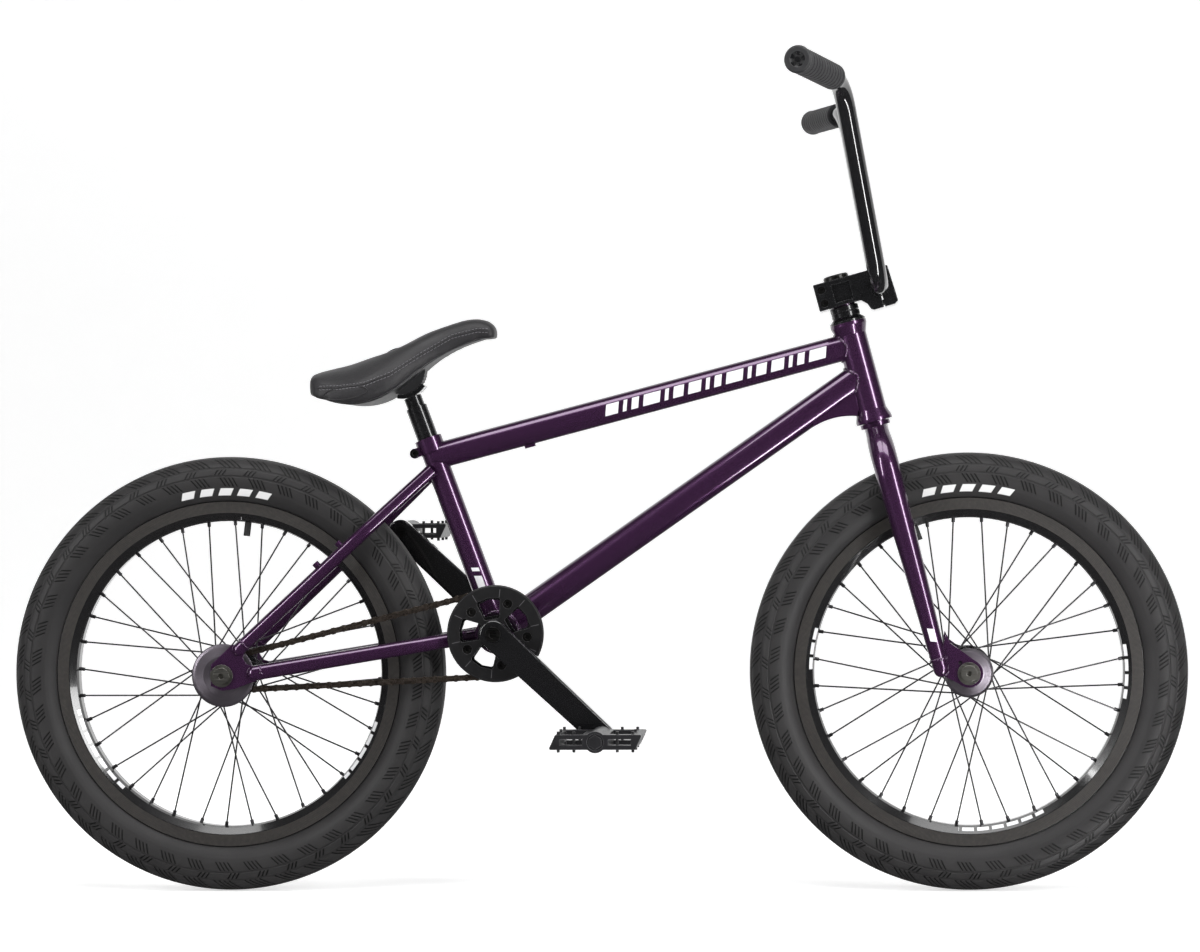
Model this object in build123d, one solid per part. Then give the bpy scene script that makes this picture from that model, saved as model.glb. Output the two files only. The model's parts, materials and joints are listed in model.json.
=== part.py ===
"""Twenty-inch freestyle BMX bike. Origin on the ground at mid-wheelbase, X forward, Y left, Z up.

The drive side (chain, sprocket) is on -Y. Every function makes one kind of piece, and each
piece is written to its own STEP file.
"""
from build123d import *
import os
from math import asin, atan2, cos, degrees, pi, radians, sin, sqrt, tan

os.makedirs("parts", exist_ok=True)

# ---------------------------------------------------------------- driving dimensions, mm
wheelbase = 883.3
tyre_radius = 260.0
tyre_section_radius = 29.4
tyre_wall = 3.4
bead_radius = 203.2
rim_half_width = 17.8
rim_edge_radius = 206.6
rim_inner_radius = 182.7
spoke_radius = 0.95
nipple_radius = 2.1
spokes_per_wheel = 36

chain_pitch = 12.7
chain_links = 69
sprocket_teeth = 25
driver_teeth = 9
chain_line = -43.5
crank_length = 175.0
crank_angle = -43.1
bracket_rise = atan2(48.4, 323.4)

seat_tube_angle = 69.8
steering_angle = 75.25
head_centre = Vector(317, 0, 615)
head_tube_low, head_tube_high = -60.0, 62.0
top_tube_slope, down_tube_slope = 14.5, 34.8
top_tube_back = Vector(-195.5, 0, 518.2)
running_gap = 0.05

rear_axle = Vector(-wheelbase / 2, 0, tyre_radius)
front_axle = Vector(wheelbase / 2, 0, tyre_radius)
rear_dropout_y, front_dropout_y = 57.5, 53.0
dropout_thickness = 5.0

# ---------------------------------------------------------------- small helpers


def pitch_radius(teeth):
    return chain_pitch / 2 / sin(pi / teeth)


def rod(start, end, radius):
    """Solid round bar from one point to another."""
    start, end = Vector(*start), Vector(*end)
    along = end - start
    return Solid.make_cylinder(radius, along.length, Plane(origin=start, z_dir=along))


def pipe(start, end, outer, inner):
    return rod(start, end, outer) - rod(start, end, inner)


def cross_ring(y_low, y_high, outer, inner=0.0, centre=Vector(0, 0, 0)):
    """Disc or ring whose axis is parallel to Y."""
    low, high = centre + Vector(0, y_low, 0), centre + Vector(0, y_high, 0)
    disc = rod(low, high, outer)
    return disc - rod(low, high, inner) if inner else disc


def bent_bar(points, radii, radius):
    """Round bar swept along straight runs joined by tangent arcs."""
    path = FilletPolyline(*points, radius=radii)
    start = Plane(origin=path @ 0, z_dir=path % 0)
    return sweep(start * Circle(radius), path=path)


def side_plate(outline, y_low, y_high):
    """Flat plate: an outline in X and Z given a thickness along Y."""
    half = (y_high - y_low) / 2
    return Pos(0, y_low + half, 0) * extrude(Plane.XZ * outline, amount=half, both=True)


def mirrored(shape):
    return mirror(shape, about=Plane.XZ)


def one_solid(shape):
    """The largest solid of a cut piece, without scraps left inside its neighbours."""
    return max(shape.solids(), key=lambda solid: solid.volume)


def group(shapes):
    return Compound([solid for shape in shapes for solid in shape.solids()])


# ---------------------------------------------------------------- chain route


def next_chain_point(point_at, place):
    """Place on the route one pitch (as a chord) further on than the given place."""
    low, high = place + chain_pitch, place + chain_pitch * 1.1
    for _ in range(40):
        middle = (low + high) / 2
        if (point_at(middle) - point_at(place)).length < chain_pitch:
            low = middle
        else:
            high = middle
    return (low + high) / 2


def chain_route(distance):
    """Function from length along the chain to a point in the chain's own plane.

    The driver is at the origin and the sprocket at (distance, 0). The route starts where
    the upper run leaves the driver and goes forward over the sprocket.
    """
    small, big = pitch_radius(driver_teeth), pitch_radius(sprocket_teeth)
    lean = atan2(big - small, sqrt(distance ** 2 - (big - small) ** 2))
    run = distance * cos(lean)
    big_arc, small_arc = big * (pi + 2 * lean), small * (pi - 2 * lean)
    total = 2 * run + big_arc + small_arc

    def point_at(length):
        s = length % total
        up, along = Vector(-sin(lean), cos(lean)), Vector(cos(lean), sin(lean))
        if s < run:
            return up * small + along * s
        s -= run
        if s < big_arc:
            turn = pi / 2 + lean - s / big
            return Vector(distance + big * cos(turn), big * sin(turn))
        s -= big_arc
        if s < run:
            back = Vector(-cos(lean), sin(lean))
            return Vector(distance - big * sin(lean), -big * cos(lean)) + back * s
        turn = -pi / 2 - lean - (s - run) / small
        return Vector(small * cos(turn), small * sin(turn))

    return point_at, total


def chain_places(distance):
    point_at, total = chain_route(distance)
    places = [0.0]
    for _ in range(chain_links):
        places.append(next_chain_point(point_at, places[-1]))
    return point_at, places, places[-1] - total


def tight_chain_distance():
    """Distance between the two axles at which the chain closes with no slack."""
    low, high = 300.0, 360.0
    for _ in range(40):
        middle = (low + high) / 2
        if chain_places(middle)[2] > 0:
            low = middle
        else:
            high = middle
    return (low + high) / 2


stay_length = tight_chain_distance()
bracket = rear_axle + Vector(cos(bracket_rise), 0, sin(bracket_rise)) * stay_length

point_on_route, roller_places, _ = chain_places(stay_length)
chain_plane = Plane(origin=rear_axle, x_dir=(cos(bracket_rise), 0, sin(bracket_rise)), z_dir=(0, -1, 0))
rollers = [chain_plane.from_local_coords(point_on_route(place)) for place in roller_places[:-1]]

# ---------------------------------------------------------------- frames of reference

steer = Plane(
    origin=head_centre,
    x_dir=(sin(radians(steering_angle)), 0, cos(radians(steering_angle))),
    z_dir=(-cos(radians(steering_angle)), 0, sin(radians(steering_angle))),
)
seat_line = Plane(
    origin=bracket,
    x_dir=(sin(radians(seat_tube_angle)), 0, cos(radians(seat_tube_angle))),
    z_dir=(-cos(radians(seat_tube_angle)), 0, sin(radians(seat_tube_angle))),
)


def on_steer(forward, side, up):
    return steer.from_local_coords(Vector(forward, side, up))


def on_seat_line(forward, side, up):
    return seat_line.from_local_coords(Vector(forward, side, up))


def turned(profile_points):
    """Body of revolution about the local Z axis from (radius, height) points."""
    return revolve(Plane.XZ * make_face(Polyline(*profile_points, close=True)), Axis.Z)


def wheel_turned(face_yz):
    return revolve(face_yz, Axis.Y)


# ---------------------------------------------------------------- frame

head_outer, head_flare = 18.2, 22.0
head_inner, headset_seat = 16.0, 20.5
steerer_radius = 14.3
bearing_height = 7.0
top_tube_radius, down_tube_radius, seat_tube_radius = 15.9, 17.45, 14.3
seat_post_radius = 12.7
shell_radius, shell_inner, shell_half = 24.8, 20.6, 36.5
spindle_radius = 11.0
stay_radius, chain_stay_radius = 8.0, 9.0
tube_wall = 1.2
collar_low, collar_high, collar_radius = 229.5, 247.0, 16.6
guard_clearance = 38.3
front_locknut = front_dropout_y - dropout_thickness / 2
rear_locknut = rear_dropout_y - dropout_thickness / 2


def solid_head_tube():
    rise = 15.0
    points = [
        (0, head_tube_low), (head_flare, head_tube_low), (head_flare, head_tube_low + 4),
        (head_outer, head_tube_low + rise), (head_outer, head_tube_high - rise),
        (head_flare, head_tube_high - 4), (head_flare, head_tube_high), (0, head_tube_high),
    ]
    return steer.location * turned(points)


def make_head_tube():
    body = solid_head_tube()
    bore = rod(on_steer(0, 0, head_tube_low - 1), on_steer(0, 0, head_tube_high + 1), head_inner)
    body -= bore
    for low in (head_tube_low, head_tube_high - bearing_height):
        body -= rod(on_steer(0, 0, low), on_steer(0, 0, low + bearing_height), headset_seat)
    return body


def make_headset_bearings():
    races = []
    for low in (head_tube_low, head_tube_high - bearing_height):
        start, end = on_steer(0, 0, low), on_steer(0, 0, low + bearing_height)
        races.append(pipe(start, end, headset_seat, steerer_radius + running_gap))
    return group(races)


def down_tube_ends():
    low = bracket + Vector(0, 0, 2)
    reach = (head_centre.X - low.X) / cos(radians(down_tube_slope))
    slope = radians(down_tube_slope)
    return low, low + Vector(cos(slope), 0, sin(slope)) * reach


def top_tube_ends():
    reach = (head_centre.X - 9 - top_tube_back.X) / cos(radians(top_tube_slope))
    slope = radians(top_tube_slope)
    return top_tube_back, top_tube_back + Vector(cos(slope), 0, sin(slope)) * reach


def solid_shell():
    return cross_ring(-shell_half, shell_half, shell_radius, 0, bracket)


def solid_seat_tube():
    return rod(bracket, on_seat_line(0, 0, collar_low), seat_tube_radius)


def solid_collar():
    return rod(on_seat_line(0, 0, collar_low), on_seat_line(0, 0, collar_high), collar_radius)


def make_down_tube():
    low, high = down_tube_ends()
    tube = rod(low, high, down_tube_radius) - rod(low, high, down_tube_radius - tube_wall)
    return one_solid(tube - solid_head_tube() - solid_shell())


def make_top_tube():
    low, high = top_tube_ends()
    tube = rod(low, high, top_tube_radius) - rod(low, high, top_tube_radius - tube_wall)
    return one_solid(tube - solid_head_tube() - solid_seat_tube() - solid_collar())


def make_seat_tube():
    low, high = down_tube_ends()
    tube = solid_seat_tube() - rod(bracket, on_seat_line(0, 0, collar_low), seat_post_radius + running_gap)
    return one_solid(tube - solid_shell() - rod(low, high, down_tube_radius))


def make_bb_shell():
    return cross_ring(-shell_half, shell_half, shell_radius, shell_inner, bracket)


def make_bottom_bracket():
    """Two sealed bearings and the sleeve that keeps them apart."""
    width = 8.0
    parts = []
    for side in (-1, 1):
        edges = sorted((side * shell_half, side * (shell_half - width)))
        parts.append(cross_ring(edges[0], edges[1], shell_inner, spindle_radius + running_gap, bracket))
    inner_end = shell_half - width
    parts.append(cross_ring(-inner_end, inner_end, spindle_radius + 3, spindle_radius + 0.5, bracket))
    return group(parts)


def make_gusset():
    """Throat gusset below the down tube at the head tube."""
    low, high = down_tube_ends()
    along = (high - low).normalized()
    under = Vector(along.Z, 0, -along.X) * down_tube_radius
    tail = low + along * 446 + under
    nose = on_steer(-head_outer, 0, -48.5)
    belly = Vector(279.3, 0, 560.0)
    lower = ThreePointArc((tail.X, tail.Z), (belly.X, belly.Z), (nose.X, nose.Z))
    inner = [(nose.X, nose.Z), (nose.X + 8, nose.Z + 40), (tail.X, tail.Z + 12), (tail.X, tail.Z)]
    face = make_face([lower.edge(), *Polyline(*inner).edges()])
    body = side_plate(face, -12, 12)
    return one_solid(body - rod(low, high, down_tube_radius) - solid_head_tube())


def seat_stay_path():
    """Points of the left seat stay: out beside the tyre, then back to the dropout."""
    top = on_seat_line(0, 0, 212)
    foot = rear_axle + Vector(20, 0, 31)
    along = (foot - top).normalized()
    stations = ((8, 15.5), (120, 43.5), ((foot - top).length, rear_dropout_y))
    return [top + along * distance + Vector(0, side, 0) for distance, side in stations]


def chain_stay_path():
    """Points of the left chain stay, bent round the tyre."""
    foot = rear_axle + Vector(38, 0, 3)
    low = bracket + Vector(-6, 0, 0)
    along = (foot - low).normalized()
    stations = ((14, 26), (52, 29.5), (96, 43.5), ((foot - low).length, rear_dropout_y))
    return [low + along * distance + Vector(0, side, 0) for distance, side in stations]


def rear_dropout():
    """Left dropout: a plate with a slot that is open to the rear for chain tension."""
    x, z = rear_axle.X, rear_axle.Z
    outline = [
        (-13, 13), (12, 36.5), (21, 38), (28, 29), (25, 21), (30, 13.5), (43, 10),
        (43, -5), (30, -10), (15, -15.5), (0, -17.5), (-13, -12),
    ]
    plate = make_face(Polyline(*[(x + a, z + b) for a, b in outline], close=True))
    corners = [vertex for vertex in plate.vertices() if vertex.X > x - 10]
    plate = fillet(corners, 3.0)
    slot = Pos(x, z) * Circle(5.0) + Pos(x - 10, z) * Rectangle(20, 10)
    half = dropout_thickness / 2
    return side_plate(plate - slot, rear_dropout_y - half, rear_dropout_y + half)


def make_rear_dropouts():
    left = rear_dropout()
    return group([left, mirrored(left)])


def stay_pair(path, radii, radius, cutters):
    solid_end = cross_ring(0, 70, 52.0, 0, rear_axle)
    bar = bent_bar(path, radii, radius) - (bent_bar(path, radii, radius - tube_wall) - solid_end)
    bar += Pos(*path[-1]) * Sphere(radius)
    bar -= cross_ring(0, rear_locknut, guard_clearance, 0, rear_axle)
    for cutter in cutters:
        bar -= cutter
    left = one_solid(bar)
    return group([left, mirrored(left)])


def make_seat_stays():
    low, high = top_tube_ends()
    cutters = [solid_seat_tube(), solid_collar(), rod(low, high, top_tube_radius), rear_dropout()]
    return stay_pair(seat_stay_path(), [120], stay_radius, cutters)


def make_chain_stays():
    cutters = [solid_shell(), rear_dropout()]
    return stay_pair(chain_stay_path(), [60, 60], chain_stay_radius, cutters)


def make_seat_collar():
    """Clamp at the top of the seat tube, split at the back between two bolt ears."""
    low, high = on_seat_line(0, 0, collar_low), on_seat_line(0, 0, collar_high)
    body = pipe(low, high, collar_radius, seat_post_radius + running_gap)
    ear_back, ear_half = 20.0, 10.5
    ear = rod(on_seat_line(-ear_back, -ear_half, 235), on_seat_line(-ear_back, ear_half, 235), 6.0)
    web = seat_line.location * (Pos(-16, 0, 235) * Box(9, 2 * ear_half, 11))
    body += ear + web
    body -= rod(low, high, seat_post_radius + running_gap)
    body -= seat_line.location * (Pos(-18, 0, 238) * Box(22, 2.4, 30))
    body -= rod(on_seat_line(-ear_back, -20, 235), on_seat_line(-ear_back, 20, 235), 3.2)
    return one_solid(body - solid_seat_tube())


def make_collar_bolt():
    back, head = 20.0, 5.0
    shank = rod(on_seat_line(-back, -10.5, 235), on_seat_line(-back, 13, 235), 3.0)
    cap = rod(on_seat_line(-back, -10.5 - head, 235), on_seat_line(-back, -10.5, 235), head)
    socket = rod(on_seat_line(-back, -16, 235), on_seat_line(-back, -12.5, 235), 2.4)
    return shank + cap - socket


def make_brake_bosses():
    """Threaded brake mounts on the seat stays and a cable tab under the top tube."""
    parts = []
    top, bend, foot = seat_stay_path()
    along = (foot - bend).normalized()
    under = Vector(along.Z, 0, -along.X).normalized()
    for distance in (26.0, 62.0):
        centre = bend + along * distance + under * (stay_radius - 0.5)
        boss = rod(centre, centre + under * 5.5, 4.2) - rod(centre, centre + under * 7, 2.5)
        boss -= bent_bar(seat_stay_path(), [120], stay_radius)
        parts += [boss, mirrored(boss)]
    low, high = top_tube_ends()
    slope = (high - low).normalized()
    down = Vector(slope.Z, 0, -slope.X)
    middle = low + slope * 116 + down * (top_tube_radius + 1.0)
    frame_here = Plane(origin=middle, x_dir=slope, z_dir=down)
    tab = frame_here.location * Box(13, 9, 4) - rod(low, high, top_tube_radius)
    parts.append(tab)
    return group([one_solid(part) for part in parts])


# ---------------------------------------------------------------- hubs and axles

axle_radius, axle_bore = 7.0, 4.8


def make_axle(centre, half):
    return cross_ring(-half, half, axle_radius, axle_bore, centre)


def make_axle_bolts(centre, inner_face):
    """Flanged bolts that screw into the hollow axle from both sides."""
    bolts = []
    outer_face = inner_face + dropout_thickness
    for side in (-1, 1):
        shank_start = centre + Vector(0, side * (outer_face - 20), 0)
        shank_end = centre + Vector(0, side * outer_face, 0)
        head_start = centre + Vector(0, side * (outer_face + 3.2), 0)
        shank = rod(shank_start, shank_end, 4.7)
        flange = rod(shank_end, head_start, 13.4)
        head_end = centre + Vector(0, side * (outer_face + 6.4), 0)
        head = rod(head_start, head_end, 9.6)
        hexagon = Plane(origin=head_end, z_dir=(0, side, 0)) * RegularPolygon(3.5, 6)
        bolts.append(shank + flange + head - extrude(hexagon, amount=-5))
    return group(bolts)


def guard_dome(radius, face, depth):
    """Domed hub guard: a disc with a turned-in rim, on the +Y side of the hub."""
    wall, bore = 2.2, axle_radius + 0.1
    points = [
        (face - 0.3, bore), (face - 0.3, 15), (face - 1.2, radius * 0.62), (face - 3.2, radius * 0.9),
        (face - depth, radius), (face - depth, radius - wall), (face - 3.2 - wall, radius * 0.86),
        (face - 1.2 - wall, radius * 0.6), (face - 0.6 - wall, bore),
    ]
    return wheel_turned(make_face(Plane.YZ * Polyline(*points, close=True)))


def make_front_guards():
    left = Pos(*front_axle) * guard_dome(29.0, front_locknut, 9.0)
    return group([left, mirrored(left)])


def make_rear_guards():
    left = Pos(*rear_axle) * guard_dome(29.0, rear_locknut, 12.0)
    drive = Pos(*rear_axle) * mirrored(guard_dome(37.5, rear_locknut, 4.6))
    return group([left, drive])


hub_bearing_radius, hub_bearing_width = 13.0, 8.0
flange_radius, flange_half, spoke_circle = 28.6, 1.7, 26.3
front_flange, rear_flange_left, rear_flange_right = 34.0, 34.0, 29.0


def hub_shell(left_flange, right_flange, left_end, right_end, phase):
    """Hub shell with two drilled flanges, bored for an axle and two bearings."""
    wide, slim = 16.5, 15.0
    points = [
        (-right_end, wide), (-right_flange - flange_half, wide),
        (-right_flange - flange_half, flange_radius), (-right_flange + flange_half, flange_radius),
        (-right_flange + flange_half, slim + 3), (-right_flange + 9, slim),
        (left_flange - 9, slim), (left_flange - flange_half, slim + 3),
        (left_flange - flange_half, flange_radius), (left_flange + flange_half, flange_radius),
        (left_flange + flange_half, wide), (left_end, wide),
        (left_end, hub_bearing_radius), (left_end - hub_bearing_width, hub_bearing_radius),
        (left_end - hub_bearing_width, axle_radius + 1), (hub_bearing_width - right_end, axle_radius + 1),
        (hub_bearing_width - right_end, hub_bearing_radius), (-right_end, hub_bearing_radius),
    ]
    shell = wheel_turned(make_face(Plane.YZ * Polyline(*points, close=True)))
    holes = []
    for index in range(spokes_per_wheel):
        y = left_flange if index % 2 else -right_flange
        angle = radians(phase + index * 360 / spokes_per_wheel)
        x, z = spoke_circle * sin(angle), spoke_circle * cos(angle)
        holes.append(rod((x, y - 4, z), (x, y + 4, z), spoke_radius + 0.25))
    return shell - group(holes)


def hub_bearings(left_end, right_end):
    rings = []
    left_seat = (left_end - hub_bearing_width, left_end)
    right_seat = (-right_end, hub_bearing_width - right_end)
    for low, high in (left_seat, right_seat):
        rings.append(cross_ring(low, high, hub_bearing_radius, axle_radius + running_gap))
    return group(rings)


# ---------------------------------------------------------------- wheels

nipple_length, crosses = 12.0, 3
valve_radius, valve_tip = 4.0, 166.0


def tyre_face(outer, inner):
    """Tyre section in Y and Z: a round carcass over two bead feet."""
    centre = tyre_radius - tyre_section_radius
    foot_out, foot_in = 17.3, 12.0
    z_out = centre - sqrt(outer ** 2 - foot_out ** 2)
    z_in = centre - sqrt(inner ** 2 - foot_in ** 2)
    crown = ThreePointArc((foot_out, z_out), (0, centre + outer), (-foot_out, z_out))
    liner = ThreePointArc((-foot_in, z_in), (0, centre + inner), (foot_in, z_in))
    left = Polyline(
        (-foot_out, z_out), (-15, z_out), (-15, bead_radius), (-10.8, bead_radius), (-foot_in, z_in)
    )
    right = Polyline(
        (foot_in, z_in), (10.8, bead_radius), (15, bead_radius), (15, z_out), (foot_out, z_out)
    )
    edges = [crown.edge(), *left.edges(), liner.edge(), *right.edges()]
    return Plane.YZ * make_face(edges)


def make_tyre(centre):
    face = tyre_face(tyre_section_radius, tyre_section_radius - tyre_wall)
    return Pos(*centre) * wheel_turned(face)


def make_inner_tube(centre, valve_angle):
    middle, tube_radius, wall = tyre_radius - tyre_section_radius, 25.3, 1.5
    section = Pos(0, middle) * (Circle(tube_radius) - Circle(tube_radius - wall))
    body = wheel_turned(Plane.YZ * section)
    top = middle - tube_radius + wall / 2
    stem = rod((0, 0, valve_tip), (0, 0, top), valve_radius)
    bore = rod((0, 0, valve_tip - 1), (0, 0, top + 2), 1.2)
    return Pos(*centre) * Rot(0, valve_angle, 0) * (body + stem - bore)


def spoke_ends(index, phase, left_flange, right_flange):
    """Hub end (outside or inside its flange) and rim end of one spoke, wheel centred at 0."""
    step = 360 / spokes_per_wheel
    flange = left_flange if index % 2 else -right_flange
    leading = (index // 2) % 2 == 0
    hub_angle = radians(phase + index * step)
    lace = 2 * crosses * 2 * step / 2
    rim_angle = hub_angle + radians(lace if leading else -lace)
    outward = 1 if flange > 0 else -1
    side = flange + outward * (4.8 if leading else -2.9)
    hub_end = Vector(spoke_circle * sin(hub_angle), side, spoke_circle * cos(hub_angle))
    far = rim_inner_radius + 5.0
    rim_end = Vector(far * sin(rim_angle), outward * 2.5, far * cos(rim_angle))
    return hub_end, rim_end, flange


def make_spokes(centre, phase, left_flange, right_flange):
    spokes = []
    for index in range(spokes_per_wheel):
        hub_end, rim_end, flange = spoke_ends(index, phase, left_flange, right_flange)
        across = Vector(hub_end.X, flange + (2.6 if hub_end.Y < flange else -2.6), hub_end.Z)
        spoke = rod(hub_end, rim_end, spoke_radius) + rod(hub_end, across, spoke_radius)
        spokes.append(Pos(*centre) * (spoke + Pos(*hub_end) * Sphere(spoke_radius)))
    return group(spokes)


def make_nipples(centre, phase, left_flange, right_flange):
    nipples = []
    for index in range(spokes_per_wheel):
        hub_end, rim_end, _ = spoke_ends(index, phase, left_flange, right_flange)
        along = (rim_end - hub_end).normalized()
        inner, outer = rim_end - along * (nipple_length - 2), rim_end + along * 2
        body = rod(inner, outer, nipple_radius) + rod(outer, outer + along * 2, nipple_radius + 0.9)
        nipples.append(Pos(*centre) * (body - rod(inner, rim_end, spoke_radius + 0.02)))
    return group(nipples)


def make_rim(centre, phase, valve_angle, left_flange, right_flange):
    """Double-wall rim with a hole for each nipple and one for the valve."""
    outer = [
        (15.2, rim_edge_radius), (rim_half_width, rim_edge_radius), (rim_half_width, 192),
        (12.5, 184.3), (7.0, rim_inner_radius), (-7.0, rim_inner_radius), (-12.5, 184.3),
        (-rim_half_width, 192), (-rim_half_width, rim_edge_radius), (-15.2, rim_edge_radius),
        (-15.2, bead_radius - 0.2), (-10, bead_radius - 0.2), (-8, 199.8), (8, 199.8),
        (10, bead_radius - 0.2), (15.2, bead_radius - 0.2),
    ]
    hollow = [
        (15.8, 200.5), (15.8, 192.8), (11.5, 186.2), (6.7, 184.8), (-6.7, 184.8), (-11.5, 186.2),
        (-15.8, 192.8), (-15.8, 200.5), (-9.6, 200.5), (-7.8, 198.2), (7.8, 198.2), (9.6, 200.5),
    ]
    face = make_face(Polyline(*outer, close=True)) - make_face(Polyline(*hollow, close=True))
    rim = wheel_turned(Plane.YZ * face)
    holes = [Rot(0, valve_angle, 0) * rod((0, 0, 150), (0, 0, 207), valve_radius + 0.3)]
    for index in range(spokes_per_wheel):
        hub_end, rim_end, _ = spoke_ends(index, phase, left_flange, right_flange)
        along = (rim_end - hub_end).normalized()
        holes.append(rod(rim_end - along * 12, rim_end, nipple_radius + 0.15))
        radial = Vector(rim_end.X, 0, rim_end.Z).normalized()
        sideways = Vector(0, rim_end.Y, 0)
        holes.append(rod(radial * 194 + sideways, radial * 204 + sideways, 4.2))
    for hole in holes:
        rim -= hole
    return Pos(*centre) * rim


# ---------------------------------------------------------------- fork, stem and bars

stem_low, stem_high = 82.0, 115.0
clamp_forward, clamp_up, bar_radius = 47.0, 91.7, 11.1
stem_half_width = 26.0
steerer_top = stem_high - 2.0


def make_steerer():
    """Steerer tube with the crown that the legs are welded to."""
    body = rod(on_steer(0, 0, -86), on_steer(0, 0, steerer_top), steerer_radius)
    body += rod(on_steer(0, 0, -66), on_steer(0, 0, head_tube_low - 0.6), 18.0)
    return body - rod(on_steer(0, 0, -80), on_steer(0, 0, steerer_top + 1), steerer_radius - 3.0)


def fork_leg():
    """Left leg: it leaves the crown sideways, bends down beside the tyre and tapers to the axle."""
    # height along the steering axis, sideways place, radius
    shoulder = ((-66, 9, 13.2), (-78, 17, 14.6), (-92, 31, 15.6), (-108, 42.5, 15.6), (-128, 48, 15.4))
    tip_up, tip_side, tip_radius = -362, front_dropout_y, 9.4
    places = [Vector(0, side, up) for up, side, _ in shoulder] + [Vector(0, tip_side, tip_up)]
    sections = []
    for number, (_, _, radius) in enumerate(shoulder):
        lean = places[number + 1] - places[max(number - 1, 0)]
        if number == len(shoulder) - 1:
            lean = places[-1] - places[-2]
        sections.append(Plane(origin=places[number], x_dir=(1, 0, 0), z_dir=lean) * Circle(radius))
    blade = places[-1] - places[-2]
    line = Plane(origin=places[-2], x_dir=(1, 0, 0), z_dir=blade)
    leg = loft(sections) + Solid.make_cone(shoulder[-1][2], tip_radius, blade.length, line)
    leg += Pos(*places[-1]) * Sphere(tip_radius)
    return steer.location * leg


def fork_dropout():
    """Left fork end: a plate from the leg to the axle, with a tab-washer hole."""
    x, z = front_axle.X, front_axle.Z
    web = Polyline(
        (x - 27, z + 46), (x - 22, z + 36), (x - 8, z + 26), (x + 10.5, z + 12.7),
        (x + 4, z - 16), (x - 11.5, z - 12), (x - 29, z - 3), (x - 33, z + 20), close=True,
    )
    plate = make_face(web) + Pos(x, z) * Circle(16.5)
    plate -= Pos(x, z) * Circle(5.0)
    plate -= Pos(x - 10.2, z + 12.6) * Circle(2.2)
    half = dropout_thickness / 2
    return side_plate(plate, front_dropout_y - half, front_dropout_y + half)


def make_fork_legs():
    crown = rod(on_steer(0, 0, -86), on_steer(0, 0, -50), steerer_radius)
    crown += rod(on_steer(0, 0, -66), on_steer(0, 0, -50), 30.0)
    half = steer.location * (Pos(0, -50, -200) * Box(80, 100, 500))
    guard_room = cross_ring(0, front_locknut + 0.2, 29.8, 0, front_axle)
    left = one_solid(fork_leg() - crown - half - fork_dropout() - guard_room)
    return group([left, mirrored(left)])


def make_fork_dropouts():
    left = one_solid(fork_dropout())
    return group([left, mirrored(left)])


def make_headset_spacers():
    """Dust cover above the upper bearing and two spacers below the stem."""
    bore = steerer_radius + 0.1
    cover = [(bore, 62.4), (21.5, 62.4), (21.5, 64.5), (17.0, 68.4), (bore, 68.4)]
    parts = [turned(cover)]
    for low, high in ((68.6, 75.0), (75.2, 81.8)):
        profile = [(bore, low), (16.6, low), (17.2, low + 0.8), (17.2, high - 0.8), (16.6, high), (bore, high)]
        parts.append(turned(profile))
    return group([steer.location * part for part in parts])


def stem_outline():
    """Side outline of stem and faceplate together, in steering coordinates."""
    return [
        (-28.6, stem_low), (12, stem_low + 1), (22, stem_low + 0.5), (28, 77), (31, 69.5), (34, 67.6),
        (60, 68.2), (64.4, 71.5), (62.6, stem_high), (-28.6, stem_high - 0.5),
    ]


faceplate_split, clamp_gap = clamp_forward, 1.5
face_bolt_heights = (clamp_up + 16.8, clamp_up - 17.5)
face_bolt_places = [(height, side) for height in face_bolt_heights for side in (17, -17)]
pinch_bolt_heights = (90.0, 106.0)


def stem_solid():
    outline = Plane.XZ * make_face(Polyline(*stem_outline(), close=True))
    body = extrude(outline, amount=stem_half_width, both=True)
    body = fillet(body.edges().filter_by(Axis.Y), 1.2)
    side_edges = body.faces().filter_by(Axis.Y).edges()
    body = chamfer(side_edges, 0.8)
    bar = Plane(origin=(clamp_forward, -40, clamp_up), z_dir=(0, 1, 0))
    body -= extrude(bar * Circle(bar_radius), amount=80)
    waist = Pos(3, 0, 98) * Box(22, 60, 22)
    waist -= Pos(3, 0, 98) * Box(30, 2 * stem_half_width - 7, 30)
    body -= waist
    for up, side in face_bolt_places:
        line = Plane(origin=(40, side, up), z_dir=(1, 0, 0))
        body -= extrude(line * Circle(2.6), amount=30)
        mouth = Plane(origin=(58, side, up), z_dir=(1, 0, 0))
        body -= extrude(mouth * Circle(4.6), amount=12)
    for up in pinch_bolt_heights:
        line = Plane(origin=(-20.5, -30, up), z_dir=(0, 1, 0))
        body -= extrude(line * Circle(2.6), amount=60)
        body -= extrude(line * Circle(4.6), amount=10)
    return body


def make_stem_body():
    body = stem_solid() - Pos(faceplate_split + 50 - clamp_gap / 2, 0, clamp_up) * Box(100, 100, 100)
    body -= Pos(0, 0, 98) * Cylinder(steerer_radius + 0.02, 60)
    body -= Pos(-25, 0, 98) * Box(24, 2.0, 60)
    return steer.location * one_solid(body)


def make_stem_faceplate():
    body = stem_solid() - Pos(faceplate_split - 50 + clamp_gap / 2, 0, clamp_up) * Box(100, 100, 100)
    return steer.location * one_solid(body)


def socket_bolt(start, direction, length, head=4.3, shank=2.5, head_height=4.0):
    """Hex-socket bolt whose head sits at the start point and whose shank runs along direction."""
    line = Plane(origin=start, z_dir=direction)
    bolt = extrude(line * Circle(head), amount=head_height)
    bolt += extrude(line.offset(head_height) * Circle(shank), amount=length)
    return bolt - extrude(line * RegularPolygon(head * 0.55, 6), amount=2.5)


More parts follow.
